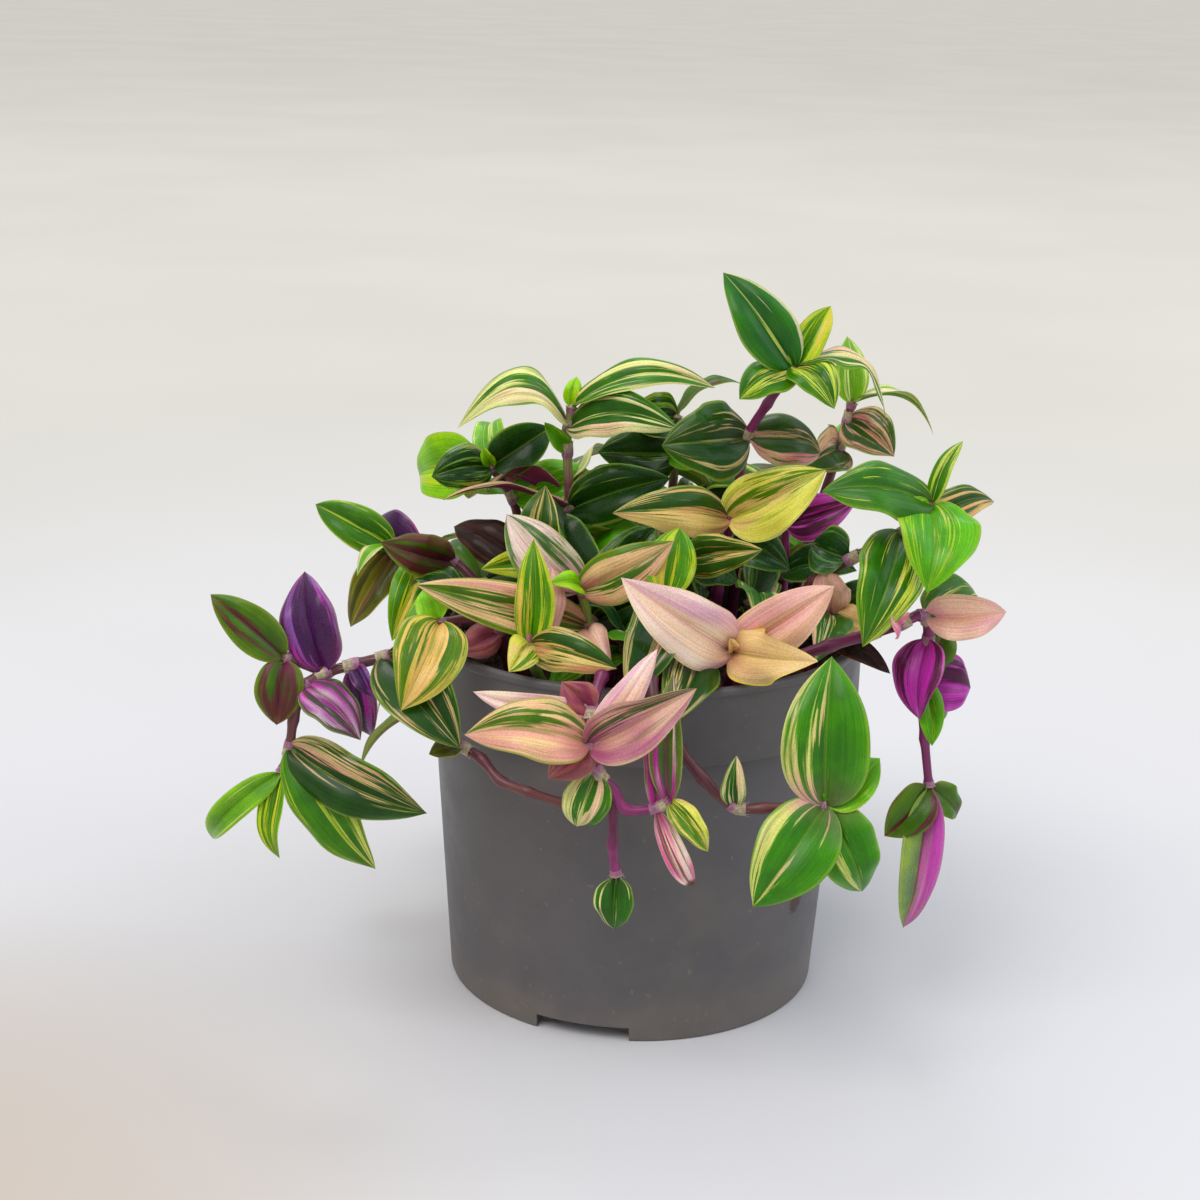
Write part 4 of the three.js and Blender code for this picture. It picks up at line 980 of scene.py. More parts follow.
        Leaf(1, (62, -10, 116), 9, Look.DARK_GREEN, 0.12, face=Face.SLOPE),
        Leaf(1, (64, -16, 90), 6, Look.DRY, 0.35, face=Face.RIGHT_FRONT),
    )),
    ShootPlan("rim_far_left", Foliage.GREEN, StemLook.BROWN, (
        (-46, -14, 0), (-48, -15, 101), (-48, -16, 109),
    ), (
        Leaf(2, (-62, -4, 109), 11, Look.DARK_GREEN, 0.12, face=Face.HIGH),
        Leaf(2, (-36, -36, 113), 11, Look.OLIVE, 0.12, face=Face.HIGH),
        Leaf(2, (-60, -28, 107), 10, Look.LIME_STRIPED, 0.12, face=Face.HIGH),
        Leaf(1, (-32, 2, 106), 11, Look.DARK_GREEN, 0.12, face=Face.HIGH),
    )),
    ShootPlan("rear_centre", Foliage.GREEN, StemLook.FADING, (
        (6, 22, 0), (7, 23, 116), (8, 24, 140), (8, 24, 150),
    ), (
        Leaf(3, (27, 30, 160), 8, Look.PURPLE_GREEN, 0.2, face=Face.SKY),
        Leaf(3, (-5, 18, 150), 13, Look.DARK_GREEN, 0.12),
        Leaf(2, (22, 12, 138), 14, Look.GREEN_PLAIN, 0.12, face=Face.SLOPE),
        Leaf(2, (2, 42, 136), 13, Look.GREEN_WHITE, 0.15, face=Face.SKY),
        Leaf(1, (-10, 26, 128), 13, Look.DARK_GREEN, 0.12, face=Face.SLOPE),
    ), hidden=(
        Leaf(2, (-12, 14, 142), 17, Look.DARK_GREEN, 0.1),
        Leaf(1, (-16, 12, 126), 18, Look.GREEN_PLAIN, 0.12, 0, -0.1),
        Leaf(1, (32, 20, 134), 16, Look.DARK_GREEN, 0.12),
    )),
)

SOIL_TOP = 90.5
ROOT_NECK = 1.0
ROOT_DEPTH = 14.0
STEM_ROOT_RADIUS = 1.9
SIDE_STEM_RADIUS = 1.4
STEM_TIP_RADIUS = 1.2

BEND_SIZES = (1, 0.88, 0.76)
BEND_TURNS = (7, 14, 22, 31)
BEND_WAYS = ((1, 0), (-1, 0), (0, 1), (0, -1), (0.7, 0.7), (0.7, -0.7), (-0.7, 0.7), (-0.7, -0.7))
BENDS = [(0.0, 0.0, 1.0)] + [
    (lift * turn, swing * turn, size)
    for size in BEND_SIZES for turn in BEND_TURNS for lift, swing in BEND_WAYS
]


class Draws:
    """A repeatable row of draws, the one that the filling's solids grew by."""

    FACTOR = 16807
    RANGE = 2147483647

    def __init__(self, seed: int) -> None:
        """Starts the row from a seed."""
        self.state = seed

    def between(self, limits: Span) -> float:
        """Draws a number from the lowest to the highest that it can be."""
        self.state = (self.FACTOR * self.state) % self.RANGE
        return limits[0] + (limits[1] - limits[0]) * self.state / self.RANGE


@dataclass(frozen=True)
class Filling:
    """Further shoots, grown by the rule that their solids grew by."""

    kind: str
    seed: int
    tries: int
    seed_step: int = 37
    spill_path: tuple[Point, ...] = (
        (49, 101, 0), (60, 105, 0), (69, 102, 0), (74, 92, 0), (75, 86, 1), (74, 78, 1.8),
    )
    spill_root: float = 46.0
    spill_turns: Span = (66.0, 31.0)
    spill_drop: Span = (8, 28)
    spill_drift: Span = (-0.15, 0.15)
    spill_sway: float = 0.02
    golden_ratio: float = 0.618
    rear_turns: Span = (20.0, 140.0)
    rear_ranges: tuple[Span, ...] = ((14, 42), (0, 0.5), (26, 40))
    low_reach: float = 50.0
    low_spread: int = 40
    low_ranges: tuple[Span, ...] = ((0, 0.3), (9, 21))
    standing_base: float = 94.0
    standing_sway: Span = (-0.06, 0.06)
    tall_stem: float = 26.0
    lean_at_base: float = 0.35
    tip_leaves: int = 3
    leaf_side: Span = (0.5, 1.4)
    leaf_length: Span = (20, 31)
    leaf_rise: Span = (-0.3, 0.3)
    leaf_width: Span = (11, 16)
    leaf_arch: Span = (0.1, 0.2)
    standing_rise: float = 0.15
    hanging_rise: float = -0.8
    standing_face: float = 1.6
    hanging_face: float = 0.8
    looks: tuple[Look, ...] = (
        Look.GREEN_WHITE, Look.GREEN_CREAM, Look.DARK_GREEN, Look.GREEN_PLAIN, Look.GREEN_BLUSH,
        Look.BLUE_GREEN, Look.CREAM_GREEN, Look.PURPLE_GREEN, Look.GREEN_WHITE, Look.DARK_GREEN,
    )

    def spill_joints(self, turn: float, draws: Draws) -> list[Point]:
        """Gives the joints of a stem that climbs over the rim and hangs down.

        Args:
            turn: the way that it goes, in radians.
            draws: the row of draws.

        Returns:
            The joints.
        """
        drop, drift = draws.between(self.spill_drop), draws.between(self.spill_drift)
        joints = []
        for k, (reach, height, share) in enumerate(self.spill_path):
            along = k / (len(self.spill_path) - 1)
            sway = turn + drift * along**2 + (self.spill_sway if k % 2 else -self.spill_sway)
            joints.append((reach * math.cos(sway), reach * math.sin(sway), height - share * drop))
        return joints

    def standing_joints(
        self, turn: float, start: float, lean: float, height: float, draws: Draws
    ) -> list[Point]:
        """Gives the joints of a stem that stands and leans outward.

        Args:
            turn: the way that it leans, in radians.
            start: how far from the axis it roots.
            lean: how far it leans for its height.
            height: how tall it is.
            draws: the row of draws.

        Returns:
            The joints.
        """
        joints = []
        count = 3 if height > self.tall_stem else 2
        for k in range(1, count + 1):
            along = k / count
            bow = self.lean_at_base + (1 - self.lean_at_base) * along
            reach = start + lean * height * along * bow
            sway = turn + draws.between(self.standing_sway)
            level = self.standing_base + height * along
            joints.append((reach * math.cos(sway), reach * math.sin(sway), level))
        return joints

    def stem(self, number: int, draws: Draws) -> tuple[float, float, list[Point]]:
        """Gives where a shoot turns to, how far from the axis it roots, and its joints.

        Args:
            number: the shoot's number.
            draws: the row of draws.

        Returns:
            The turn in radians, the reach and the joints.
        """
        if self.kind == "spill":
            turn = math.radians(self.spill_turns[0]) + math.radians(self.spill_turns[1]) * number
            return turn, self.spill_root, self.spill_joints(turn, draws)
        if self.kind == "rear":
            share = (number * self.golden_ratio) % 1
            turn = math.radians(self.rear_turns[0]) + math.radians(self.rear_turns[1]) * share
            start, lean, height = (draws.between(limits) for limits in self.rear_ranges)
        else:
            turn = number * math.pi * (3 - math.sqrt(5))
            start = self.low_reach * math.sqrt(((number % self.low_spread) + 0.5) / self.low_spread)
            lean, height = (draws.between(limits) for limits in self.low_ranges)
        return turn, start, self.standing_joints(turn, start, lean, height, draws)

    def shoot(self, number: int) -> ShootPlan:
        """Grows one shoot of the filling.

        Args:
            number: its number.

        Returns:
            The shoot, with all leaves that the rule can give it.
        """
        draws = Draws(self.seed + self.seed_step * number)
        turn, start, joints = self.stem(number, draws)
        hanging = self.kind == "spill"
        last = len(joints)
        pick = np.random.default_rng([self.seed, number])
        leaves = []
        for k in range(last + self.tip_leaves):
            past = max(0, k - last)
            joint = k + 1 if k < last else last - (past if hanging else 0)
            x, y, z = joints[joint - 1]
            back = math.pi if past > 0 and not hanging else 0.0
            side = (1 if k % 2 else -1) * draws.between(self.leaf_side) + back
            length = draws.between(self.leaf_length)
            rise = self.hanging_rise if hanging and joint > 2 else self.standing_rise
            rise += draws.between(self.leaf_rise)
            width, arch = draws.between(self.leaf_width), draws.between(self.leaf_arch)
            way, face = turn + side, turn + side / 2
            tip = (x + math.cos(way) * length, y + math.sin(way) * length, z + rise * length)
            facing = (math.cos(face), math.sin(face), self.hanging_face if hanging else self.standing_face)
            look = self.looks[int(pick.integers(len(self.looks)))]
            leaves.append(Leaf(joint, tip, width, look, arch, face=facing))
        root = (start * math.cos(turn), start * math.sin(turn), 0.0)
        stem_look = StemLook.BROWN if hanging else StemLook.FADING
        title = f"{self.kind}_{number + 1:02d}"
        return ShootPlan(title, Foliage.GREEN, stem_look, (root, *joints), tuple(leaves))

    def shoots(self) -> list[ShootPlan]:
        """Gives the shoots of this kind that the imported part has."""
        grown = [self.shoot(number) for number in range(self.tries)]
        return [plan for plan in grown if plan.node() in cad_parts]


FILLINGS = (Filling("spill", 25926, 3), Filling("rear", 20923, 30), Filling("low", 15920, 34))
MIDDLE = (0.5, 0.5)


def closed(rows: Array) -> Array:
    """Repeats the first point of each row at its end, which closes a ring."""
    return np.concatenate([rows, rows[..., :1]], -1)


def link(piece: Piece) -> Piece:
    """Puts an object into the scene."""
    bpy.context.scene.collection.objects.link(piece)
    return piece


class MeshDraft:
    """Gathers the points and faces of one piece, and makes its object."""

    def __init__(self) -> None:
        """Starts with nothing."""
        self.points: list[Array] = []
        self.maps: list[Array] = []
        self.traits: list[Array] = []
        self.faces: list[list[int]] = []
        self.slots: list[int] = []
        self.materials: list[Material] = []
        self.count = 0

    def add(
        self, points: Sequence, places: Sequence, seed: float, lean: float = 0.0, more: float = 0.0
    ) -> int:
        """Adds points.

        Args:
            points: their places in millimetres, in rows or one alone.
            places: where they are on the map across and along the piece, or one place for all.
            seed: what sets this leaf or stem apart from the others.
            lean: how far its stripes lean to one side.
            more: how much more of the light colour it has.

        Returns:
            The number of the first of them.
        """
        flat = np.asarray(points, float).reshape(-1, 3)
        first = self.count
        self.points.append(flat)
        self.maps.append(np.broadcast_to(np.asarray(places, float).reshape(-1, 2), (len(flat), 2)))
        self.traits.append(np.tile((seed, lean, more), (len(flat), 1)))
        self.count += len(flat)
        return first

    def face(self, faces: Sequence[Sequence[int]], material: Material) -> None:
        """Adds faces of one material.

        Args:
            faces: the points of each face.
            material: the material.
        """
        if material not in self.materials:
            self.materials.append(material)
        self.faces.extend([*corners] for corners in faces)
        self.slots.extend([self.materials.index(material)] * len(faces))

    def grid(self, index: Array, material: Material, flip: bool = False) -> None:
        """Adds the four-cornered faces of a grid of points.

        Args:
            index: the numbers of the points, by row and column.
            material: the material.
            flip: whether the faces look the other way.
        """
        corners = [index[:-1, :-1], index[:-1, 1:], index[1:, 1:], index[1:, :-1]]
        if flip:
            corners = [corners[0], *corners[:0:-1]]
        self.face(np.stack([corner.ravel() for corner in corners], 1).tolist(), material)

    def fan(self, rim: Array, point: int, material: Material, flip: bool = False) -> None:
        """Adds triangles from a row of points to one point.

        Args:
            rim: the numbers of the row.
            point: the number of the one point.
            material: the material.
            flip: whether the faces look the other way.
        """
        pairs = zip(rim[1:], rim[:-1]) if flip else zip(rim[:-1], rim[1:])
        self.face([[a, b, point] for a, b in pairs], material)

    def make(self, title: str, crease: float = 50.0) -> Piece:
        """Makes the piece.

        Args:
            title: its name.
            crease: the angle in degrees from which an edge is sharp.

        Returns:
            The object.
        """
        mesh = bpy.data.meshes.new(title)
        mesh.from_pydata(np.concatenate(self.points) * MM, [], self.faces)
        for material in self.materials:
            mesh.materials.append(material)
        mesh.polygons.foreach_set("material_index", self.slots)
        mesh.polygons.foreach_set("use_smooth", [True] * len(self.faces))
        corners = np.zeros(len(mesh.loops), np.int32)
        mesh.loops.foreach_get("vertex_index", corners)
        layer = mesh.uv_layers.new(name=MAP_NAME)
        layer.data.foreach_set("uv", np.concatenate(self.maps)[corners].astype(np.float32).ravel())
        traits = mesh.attributes.new(TRAITS_NAME, "FLOAT_VECTOR", "POINT")
        traits.data.foreach_set("vector", np.concatenate(self.traits).astype(np.float32).ravel())
        mesh.update()
        mesh.set_sharp_from_angle(angle=math.radians(crease))
        return link(bpy.data.objects.new(title, mesh))


@dataclass(frozen=True)
class BladeShape:
    """The form of a leaf blade: a pointed oval, folded along its rib, that clasps the stem at its base."""

    columns: int = 18
    rows: int = 30
    rib_crowding: Span = (0.6, 0.4)
    ends: Span = (0.012, 0.976)
    end_crowding: Span = (0.65, 0.35)
    base_power: float = 0.46
    tip_power: float = 0.6
    drip: float = 0.06
    drip_power: float = 0.85
    breadth: float = 1.06
    ripple: Point = (0.02, 9.0, 6.3)
    fold: Span = (8.0, 24.0)
    fold_power: float = 1.3
    clasp: float = 48.0
    clasp_length: float = 0.06
    bulge: float = 0.1
    groove: float = 0.22
    groove_width: float = 0.55
    keel: float = 0.42
    keel_width: float = 0.6
    keel_power: float = 0.7
    edge_thickness: float = 0.05
    flesh: float = 0.2
    full_reach: float = 2.0
    thinnest: float = 0.25
    wave: Span = (0.04, 0.16)
    wave_turns: Span = (1.4, 2.8)
    wave_power: float = 2.5
    roll: Span = (-0.1, 0.4)
    curl: Span = (0.03, 0.22)
    curl_part: Span = (0.55, 0.45)
    sway: Span = (-0.05, 0.05)
    twist: Span = (-22.0, 22.0)

    def outline(self, share: Array) -> Array:
        """Gives the blade's outline, which narrows to a fine point, at shares of its length."""
        left = 1 - share
        return share**self.base_power * left**self.tip_power * (left / (left + self.drip)) ** self.drip_power

    def half_width(self, v: Array, width: float) -> Array:
        """Gives half the width at shares of the length, for a greatest width."""
        return self.breadth * width / 2 * self.outline(v) / self.outline(np.linspace(0.01, 0.99, 99)).max()

    def grow(
        self, draft: MeshDraft, base: Array, tip: Array, width: float, plan: Leaf, pick: Draw
    ) -> None:
        """Adds one blade to a piece.

        Args:
            draft: the piece.
            base: where the blade starts, in the stem.
            tip: where it ends.
            width: its greatest width.
            plan: the leaf's plan.
            pick: the leaf's own row of draws.
        """
        length, along, out, across = plan.ways(base, tip)
        s = np.linspace(-1, 1, self.columns + 1)
        u = (s * (self.rib_crowding[0] + self.rib_crowding[1] * s**2))[None, :]
        t = np.linspace(0, 1, self.rows + 1)
        eased = self.end_crowding[0] * t + self.end_crowding[1] * (0.5 - 0.5 * np.cos(np.pi * t))
        v = (self.ends[0] + self.ends[1] * eased)[:, None]
        reach = self.half_width(v, width)
        reach = reach * (1 + self.ripple[0] * np.sin(self.ripple[1] * v + self.ripple[2] * pick.random()))
        angle = np.radians(pick.uniform(*self.fold) + self.clasp * np.exp(-v / self.clasp_length))
        size = np.abs(u)
        x = u * reach * np.cos(angle)
        z = size**self.fold_power * reach * np.sin(angle)
        z = z + self.bulge * reach * np.sin(np.pi * size)
        z = z - pick.uniform(*self.roll) * reach * size**3
        wave = pick.uniform(*self.wave) * plan.look.value.frill
        for side in (-1, 1):
            turns, phase = pick.uniform(*self.wave_turns), pick.uniform(0, 2 * np.pi)
            swing = np.sin(2 * np.pi * turns * v + phase) * np.sin(np.pi * v) ** 0.5
            z = z + np.where(u * side > 0, wave * width / 2 * size**self.wave_power * swing, 0.0)
        swell = self.edge_thickness + self.flesh * (1 - size**2) * (1 - 0.5 * v)
        swell = np.where(size < 1, swell, 0.0)
        thin = np.clip(reach / self.full_reach, self.thinnest, 1)
        groove = self.groove * thin * np.exp(-((x / self.groove_width) ** 2))
        keel = self.keel * thin * np.exp(-((x / self.keel_width) ** 2)) * (1 - v) ** self.keel_power
        bent = np.clip((v - self.curl_part[0]) / self.curl_part[1], 0, 1)
        curl = pick.uniform(*self.curl) * length * bent**2
        lean = pick.uniform(*self.sway) * length * 4 * v * (1 - v)
        twist = np.radians(pick.uniform(*self.twist)) * v
        rib_out = plan.arch * length * 4 * v * (1 - v) - curl

        def placed(height: Array) -> Array:
            """Turns heights on the blade into places in the part.

            Args:
                height: the heights.

            Returns:
                The places.
            """
            wide = x * np.cos(twist) - height * np.sin(twist) + lean
            tall = x * np.sin(twist) + height * np.cos(twist) + rib_out
            spine = base + along * (length * v)[..., None]
            return spine + wide[..., None] * across + tall[..., None] * out

        maps = np.stack(np.broadcast_arrays(u * 0.5 + 0.5, v), -1)
        traits = (float(pick.random()), plan.lean, plan.more)
        first = draft.add(placed(z + swell / 2 - groove), maps, *traits)
        index = first + np.arange(z.size).reshape(z.shape)
        inner = draft.add(placed(z - swell / 2 - keel)[:, 1:-1], maps[:, 1:-1], *traits)
        below = index.copy()
        below[:, 1:-1] = inner + np.arange(z[:, 1:-1].size).reshape(len(z), -1)
        end = base + along * length - out * float(curl[-1, 0])
        point = draft.add(end, (0.5, 1.0), *traits)
        upper = plan.look.material()
        lower = (plan.look.value.under or UNDER_GREEN).material()
        draft.grid(index, upper)
        draft.grid(below, lower, True)
        draft.fan(index[-1], point, upper)
        draft.fan(below[-1], point, lower, True)
        draft.face([[*below[0], *index[0, 1:-1][::-1]]], lower)


@dataclass(frozen=True)
class Rings:
    """The rings of a tube: their middles, the directions along, beside and across there, and their radii."""

    centres: Array
    ways: Frames
    radii: Array


@dataclass(frozen=True)
class StemShape:
    """The form of a stem: round and slender, thicker at its joints, with a thin sheath above each."""

    sides: int = 12
    step: float = 1.4
    pull: float = 0.8
    swelling: float = 0.2
    swelling_length: float = 1.5
    waist: float = 0.92
    sheath_length: float = 4.2
    sheath_ends: Span = (-0.35, 0.65)
    sheath_rings: int = 5
    sheath_shortest: float = 3.0
    sheath_gap: float = 0.12
    sheath_flare: float = 0.25
    sheath_thickness: float = 0.12
    hairs: int = 9
    hair_scatter: float = 0.6
    hair_corners: Point = (0.0, 2.1, 4.2)
    hair_length: Span = (0.9, 1.7)
    hair_spread: Span = (0.15, 0.8)
    hair_root: float = 0.06
    hair_radius: float = 0.03
    bud: float = 1.6

    def curve(self, joints: Array) -> tuple[Array, Array]:
        """Runs a smooth curve through the joints of a stem.

        Args:
            joints: the places of the joints.

        Returns:
            Points along the curve, and the number of each joint's point.
        """
        ends = [2 * joints[0] - joints[1], *joints, 2 * joints[-1] - joints[-2]]
        points: list[Array] = []
        marks = []
        for before, start, end, after in zip(ends, ends[1:], ends[2:], ends[3:]):
            chord = np.linalg.norm(end - start)
            leave = unit(end - before) * chord * self.pull
            arrive = unit(after - start) * chord * self.pull
            count = max(3, math.ceil(chord / self.step))
            marks.append(len(points))
            for t in np.arange(count) / count:
                h = (2 * t**3 - 3 * t**2 + 1, t**3 - 2 * t**2 + t, -2 * t**3 + 3 * t**2, t**3 - t**2)
                points.append(h[0] * start + h[1] * leave + h[2] * end + h[3] * arrive)
        marks.append(len(points))
        return np.array([*points, ends[-2]]), np.array(marks)

    def frames(self, points: Array) -> Frames:
        """Gives the directions along, beside and across a curve at each of its points.

        Args:
            points: the points of the curve.

        Returns:
            The three directions.
        """
        along = np.gradient(points, axis=0)
        along /= np.linalg.norm(along, axis=1)[:, None]
        beside = np.zeros_like(along)
        way = np.array([1.0, 0.0, 0.0])
        for k, forward in enumerate(along):
            way = unit(way - forward * float(way @ forward))
            beside[k] = way
        return along, beside, np.cross(along, beside)

    def tube(
        self, draft: MeshDraft, rings: Rings, places: Array, seed: float, material: Material
    ) -> Array:
        """Adds a tube without ends.

        Args:
            draft: the piece.
            rings: its rings.
            places: how far along the map each ring is.
            seed: what sets it apart from others.
            material: its material.

        Returns:
            The numbers of its points, by ring.
        """
        angles = np.arange(self.sides) / self.sides * 2 * np.pi
        beside, across = (way[:, None, :] for way in rings.ways[1:])
        ring = beside * np.cos(angles)[None, :, None] + across * np.sin(angles)[None, :, None]
        points = rings.centres[:, None, :] + rings.radii[:, None, None] * ring
        around = np.abs(2 * np.arange(self.sides) / self.sides - 1)
        maps = np.stack(np.broadcast_arrays(around[None, :], places[:, None]), -1)
        index = draft.add(points, maps, seed) + np.arange(maps.size // 2).reshape(-1, self.sides)
        draft.grid(closed(index), material)
        return index

    def grow(
        self, draft: MeshDraft, joints: Array, radii: Span, leafy: Sequence[int], look: StemLook, pick: Draw
    ) -> None:
        """Adds one run of a stem, with a sheath at each joint that bears a leaf.

        Args:
            draft: the piece.
            joints: the places of its joints, the foot first.
            radii: its radius at its start and at its end.
            leafy: which of those joints bear a leaf.
            look: the stem's look.
            pick: the stem's own row of draws.
        """
        points, marks = self.curve(joints)
        frames = self.frames(points)
        seed = float(pick.random())
        share = np.arange(len(points)) / (len(points) - 1)
        travelled = np.cumsum(np.linalg.norm(np.diff(points, axis=0, prepend=points[:1]), axis=1))
        swell = np.zeros(len(points))
        for mark in marks[1:]:
            swell = np.maximum(swell, np.exp(-(((travelled - travelled[mark]) / self.swelling_length) ** 2)))
        radius = radii[0] + (radii[1] - radii[0]) * share
        radius = radius * (self.waist + (self.swelling + 1 - self.waist) * swell)
        material = look.value.material()
        rings = Rings(points, frames, radius)
        index = closed(self.tube(draft, rings, share, seed, material))
        foot = draft.add(points[0], (0.5, 0.0), seed)
        bud = draft.add(points[-1] + frames[0][-1] * self.bud, (0.5, 1.0), seed)
        draft.fan(index[0], foot, material, True)
        draft.fan(index[-1], bud, material)
        for number in leafy:
            self.sheath(draft, rings, travelled, int(marks[number]), pick)

    def sheath(self, draft: MeshDraft, stem: Rings, travelled: Array, mark: int, pick: Draw) -> None:
        """Adds the thin sheath round the stem at a joint, with fine hairs at its mouth.

        Args:
            draft: the piece.
            stem: the stem's rings.
            travelled: how far along the stem each of them is.
            mark: the number of the joint's point.
            pick: the stem's own row of draws.
        """
        low, high = (self.sheath_length * end for end in self.sheath_ends)
        wanted = travelled[mark] + np.linspace(low, high, self.sheath_rings)
        wanted = np.clip(wanted, travelled[0], travelled[-1])
        if wanted[-1] - wanted[0] < self.sheath_length / self.sheath_shortest:
            return
        centres = np.stack([np.interp(wanted, travelled, stem.centres[:, k]) for k in range(3)], 1)
        nearest = [int(np.argmin(np.abs(travelled - where))) for where in wanted]
        here = tuple(way[nearest] for way in stem.ways)
        share = np.linspace(0, 1, self.sheath_rings)
        outer = np.interp(wanted, travelled, stem.radii) + self.sheath_gap + self.sheath_flare * share**2
        seed = float(pick.random())
        material = SHEATH_SKIN.material()
        skin = self.tube(draft, Rings(centres, here, outer), share, seed, material)
        back = tuple(way[::-1] for way in here)
        within = Rings(centres[::-1], back, outer[::-1] - self.sheath_thickness)
        lining = self.tube(draft, within, share[::-1], seed, material)
        draft.grid(closed(np.stack([skin[-1], lining[0]])), material)
        draft.grid(closed(np.stack([lining[-1], skin[0]])), material)
        self.bristles(draft, centres[-1], tuple(way[-1] for way in here), float(outer[-1]), pick)

    def bristles(self, draft: MeshDraft, centre: Array, ways: Frames, radius: float, pick: Draw) -> None:
        """Adds the fine hairs at a sheath's mouth.

        Args:
            draft: the piece.
            centre: the middle of the mouth.
            ways: the directions along, beside and across the stem.
            radius: the mouth's radius.
            pick: the stem's own row of draws.
        """
        along, beside, across = ways
        material = HAIR_SKIN.material()
        for k in range(self.hairs):
            turn = 2 * math.pi * (k + self.hair_scatter * pick.random()) / self.hairs
            side = beside * math.cos(turn) + across * math.sin(turn)
            root = centre + side * (radius - self.hair_root)
            way = unit(along + side * pick.uniform(*self.hair_spread))
            other = unit(np.cross(way, side))
            third = np.cross(way, other)
            ring = [
                root + self.hair_radius * (other * math.cos(a) + third * math.sin(a))
                for a in self.hair_corners
            ]
            end = root + way * pick.uniform(*self.hair_length)
            first = draft.add([*ring, end], MIDDLE, 0.5)
            a, b, c, d = range(first, first + 4)
            draft.face([[a, c, b], [a, b, d], [b, c, d], [c, a, d]], material)


@dataclass
class Shoot:
    """One leafy shoot, built over its solid."""

    plan: ShootPlan
    number: int
    blade: BladeShape = field(default_factory=BladeShape)
    stem: StemShape = field(default_factory=StemShape)
    reach: float = 0.05

    def settled(self, base: Array, leaf: Leaf, corners: Array) -> tuple[Array, float] | None:
        """Finds how the solid's leaf is bent, by the corner that its tip makes.

        Args:
            base: where the leaf starts.
            leaf: its plan.
            corners: the corners of the shoot's solid.

        Returns:
            The leaf's tip and width, or None where the solid hasn't got the leaf.
        """
        length, along, out, across = leaf.ways(base, np.array(leaf.tip, float))
        for lift, swing, size in BENDS:
            way = along + out * math.tan(math.radians(lift)) + across * math.tan(math.radians(swing))
            tip = base + unit(way) * length * size
            if np.min(np.linalg.norm(corners - tip, axis=1)) < self.reach:
                return tip, leaf.width * size
        return None

    def stems(self, draft: MeshDraft, joints: Array) -> None:
        """Adds the runs of the stem, the first from its end in the soil.

        Args:
            draft: the piece.
            joints: the places of the stem's joints.
        """
        borne = {leaf.joint for leaf in self.plan.leaves}
        for k, run in enumerate(self.plan.runs()):
            pick = np.random.default_rng([11, self.number, k])
            places = joints[list(run)]
            start = SIDE_STEM_RADIUS
            leafy = [place for place, joint in enumerate(run) if joint in borne and place > 0]
            if k == 0:
                foot = np.array([[joints[0][0], joints[0][1], SOIL_TOP - ROOT_DEPTH]])
                places = np.concatenate([foot, places])
                start = STEM_ROOT_RADIUS
                leafy = [place + 1 for place in leafy]
            self.stem.grow(draft, places, (start, STEM_TIP_RADIUS), leafy, self.plan.stem_look, pick)

    def build(self) -> Piece:
        """Builds the shoot's piece.

        Returns:
            The piece.
        """
        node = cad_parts[self.plan.node()]
        corners = np.array([vertex.co for vertex in node.data.vertices], float) / MM
        joints = np.array(self.plan.points, float)
        joints[0, 2] = SOIL_TOP + ROOT_NECK
        draft = MeshDraft()
        self.stems(draft, joints)
        kept = 0
        for k, leaf in enumerate(self.plan.leaves):
            base = joints[leaf.joint]
            found = self.settled(base, leaf, corners)
            if found:
                self.blade.grow(draft, base, *found, leaf, np.random.default_rng([7, self.number, k]))
                kept += 1
        for k, leaf in enumerate(self.plan.hidden):
            pick = np.random.default_rng([13, self.number, k])
            self.blade.grow(draft, joints[leaf.joint], np.array(leaf.tip, float), leaf.width, leaf, pick)
        piece = draft.make(f"{self.plan.title}_growth")
        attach(piece, "root")
        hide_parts(self.plan.node())
        LOG.info("%s: %d of %d leaves, %d faces", piece.name, kept, len(self.plan.leaves), len(draft.faces))
        return piece


class MouldedGrain(SharedEffect):
    """The fine grain, dust and smudges of a moulded plastic pot that has stood in a greenhouse."""

    title = "moulded_grain"
    takes = {"Base": COLOUR, "Dust": COLOUR, "Dust Share": 0.3, "Rough": 0.5}
    gives = {"Colour": COLOUR, "Roughness": FLOAT, "Height": FLOAT}

    def fill(self, board: NodeBoard, entry: Outputs) -> Feeds:
        """Builds the grain's colour, roughness and height.

        Args:
            board: the group's board.
            entry: what comes in.

        Returns:
            What goes out, by name.
        """
        place = board.here()
        clouds = board.noise(place, 26.0, 3.0, 0.6)
        smudges = board.noise(place, 90.0, 4.0, 0.65)
        low = board.remap(board.parts(place)[2], 0.0, 0.018, 0.35, 0.0)
        worn = board.remap(board.plus(clouds, low), 0.5, 0.78)
        share = board.times(board.plus(worn, low), entry["Dust Share"])
        colour = board.mix(share, entry["Base"], entry["Dust"])
        colour = board.shaded(colour, board.remap(smudges, 0.3, 0.7, 0.92, 1.07))
        specks = board.remap(board.noise(place, 620.0, 0.0), 0.8, 0.82, 0.0, 0.4)
        return {
            "Colour": board.mix(specks, colour, entry["Dust"]),
            "Roughness": board.plus(entry["Rough"], board.remap(smudges, 0.3, 0.7, -0.05, 0.1)),
            "Height": board.noise(place, 1500.0, 2.0, 0.6),
        }


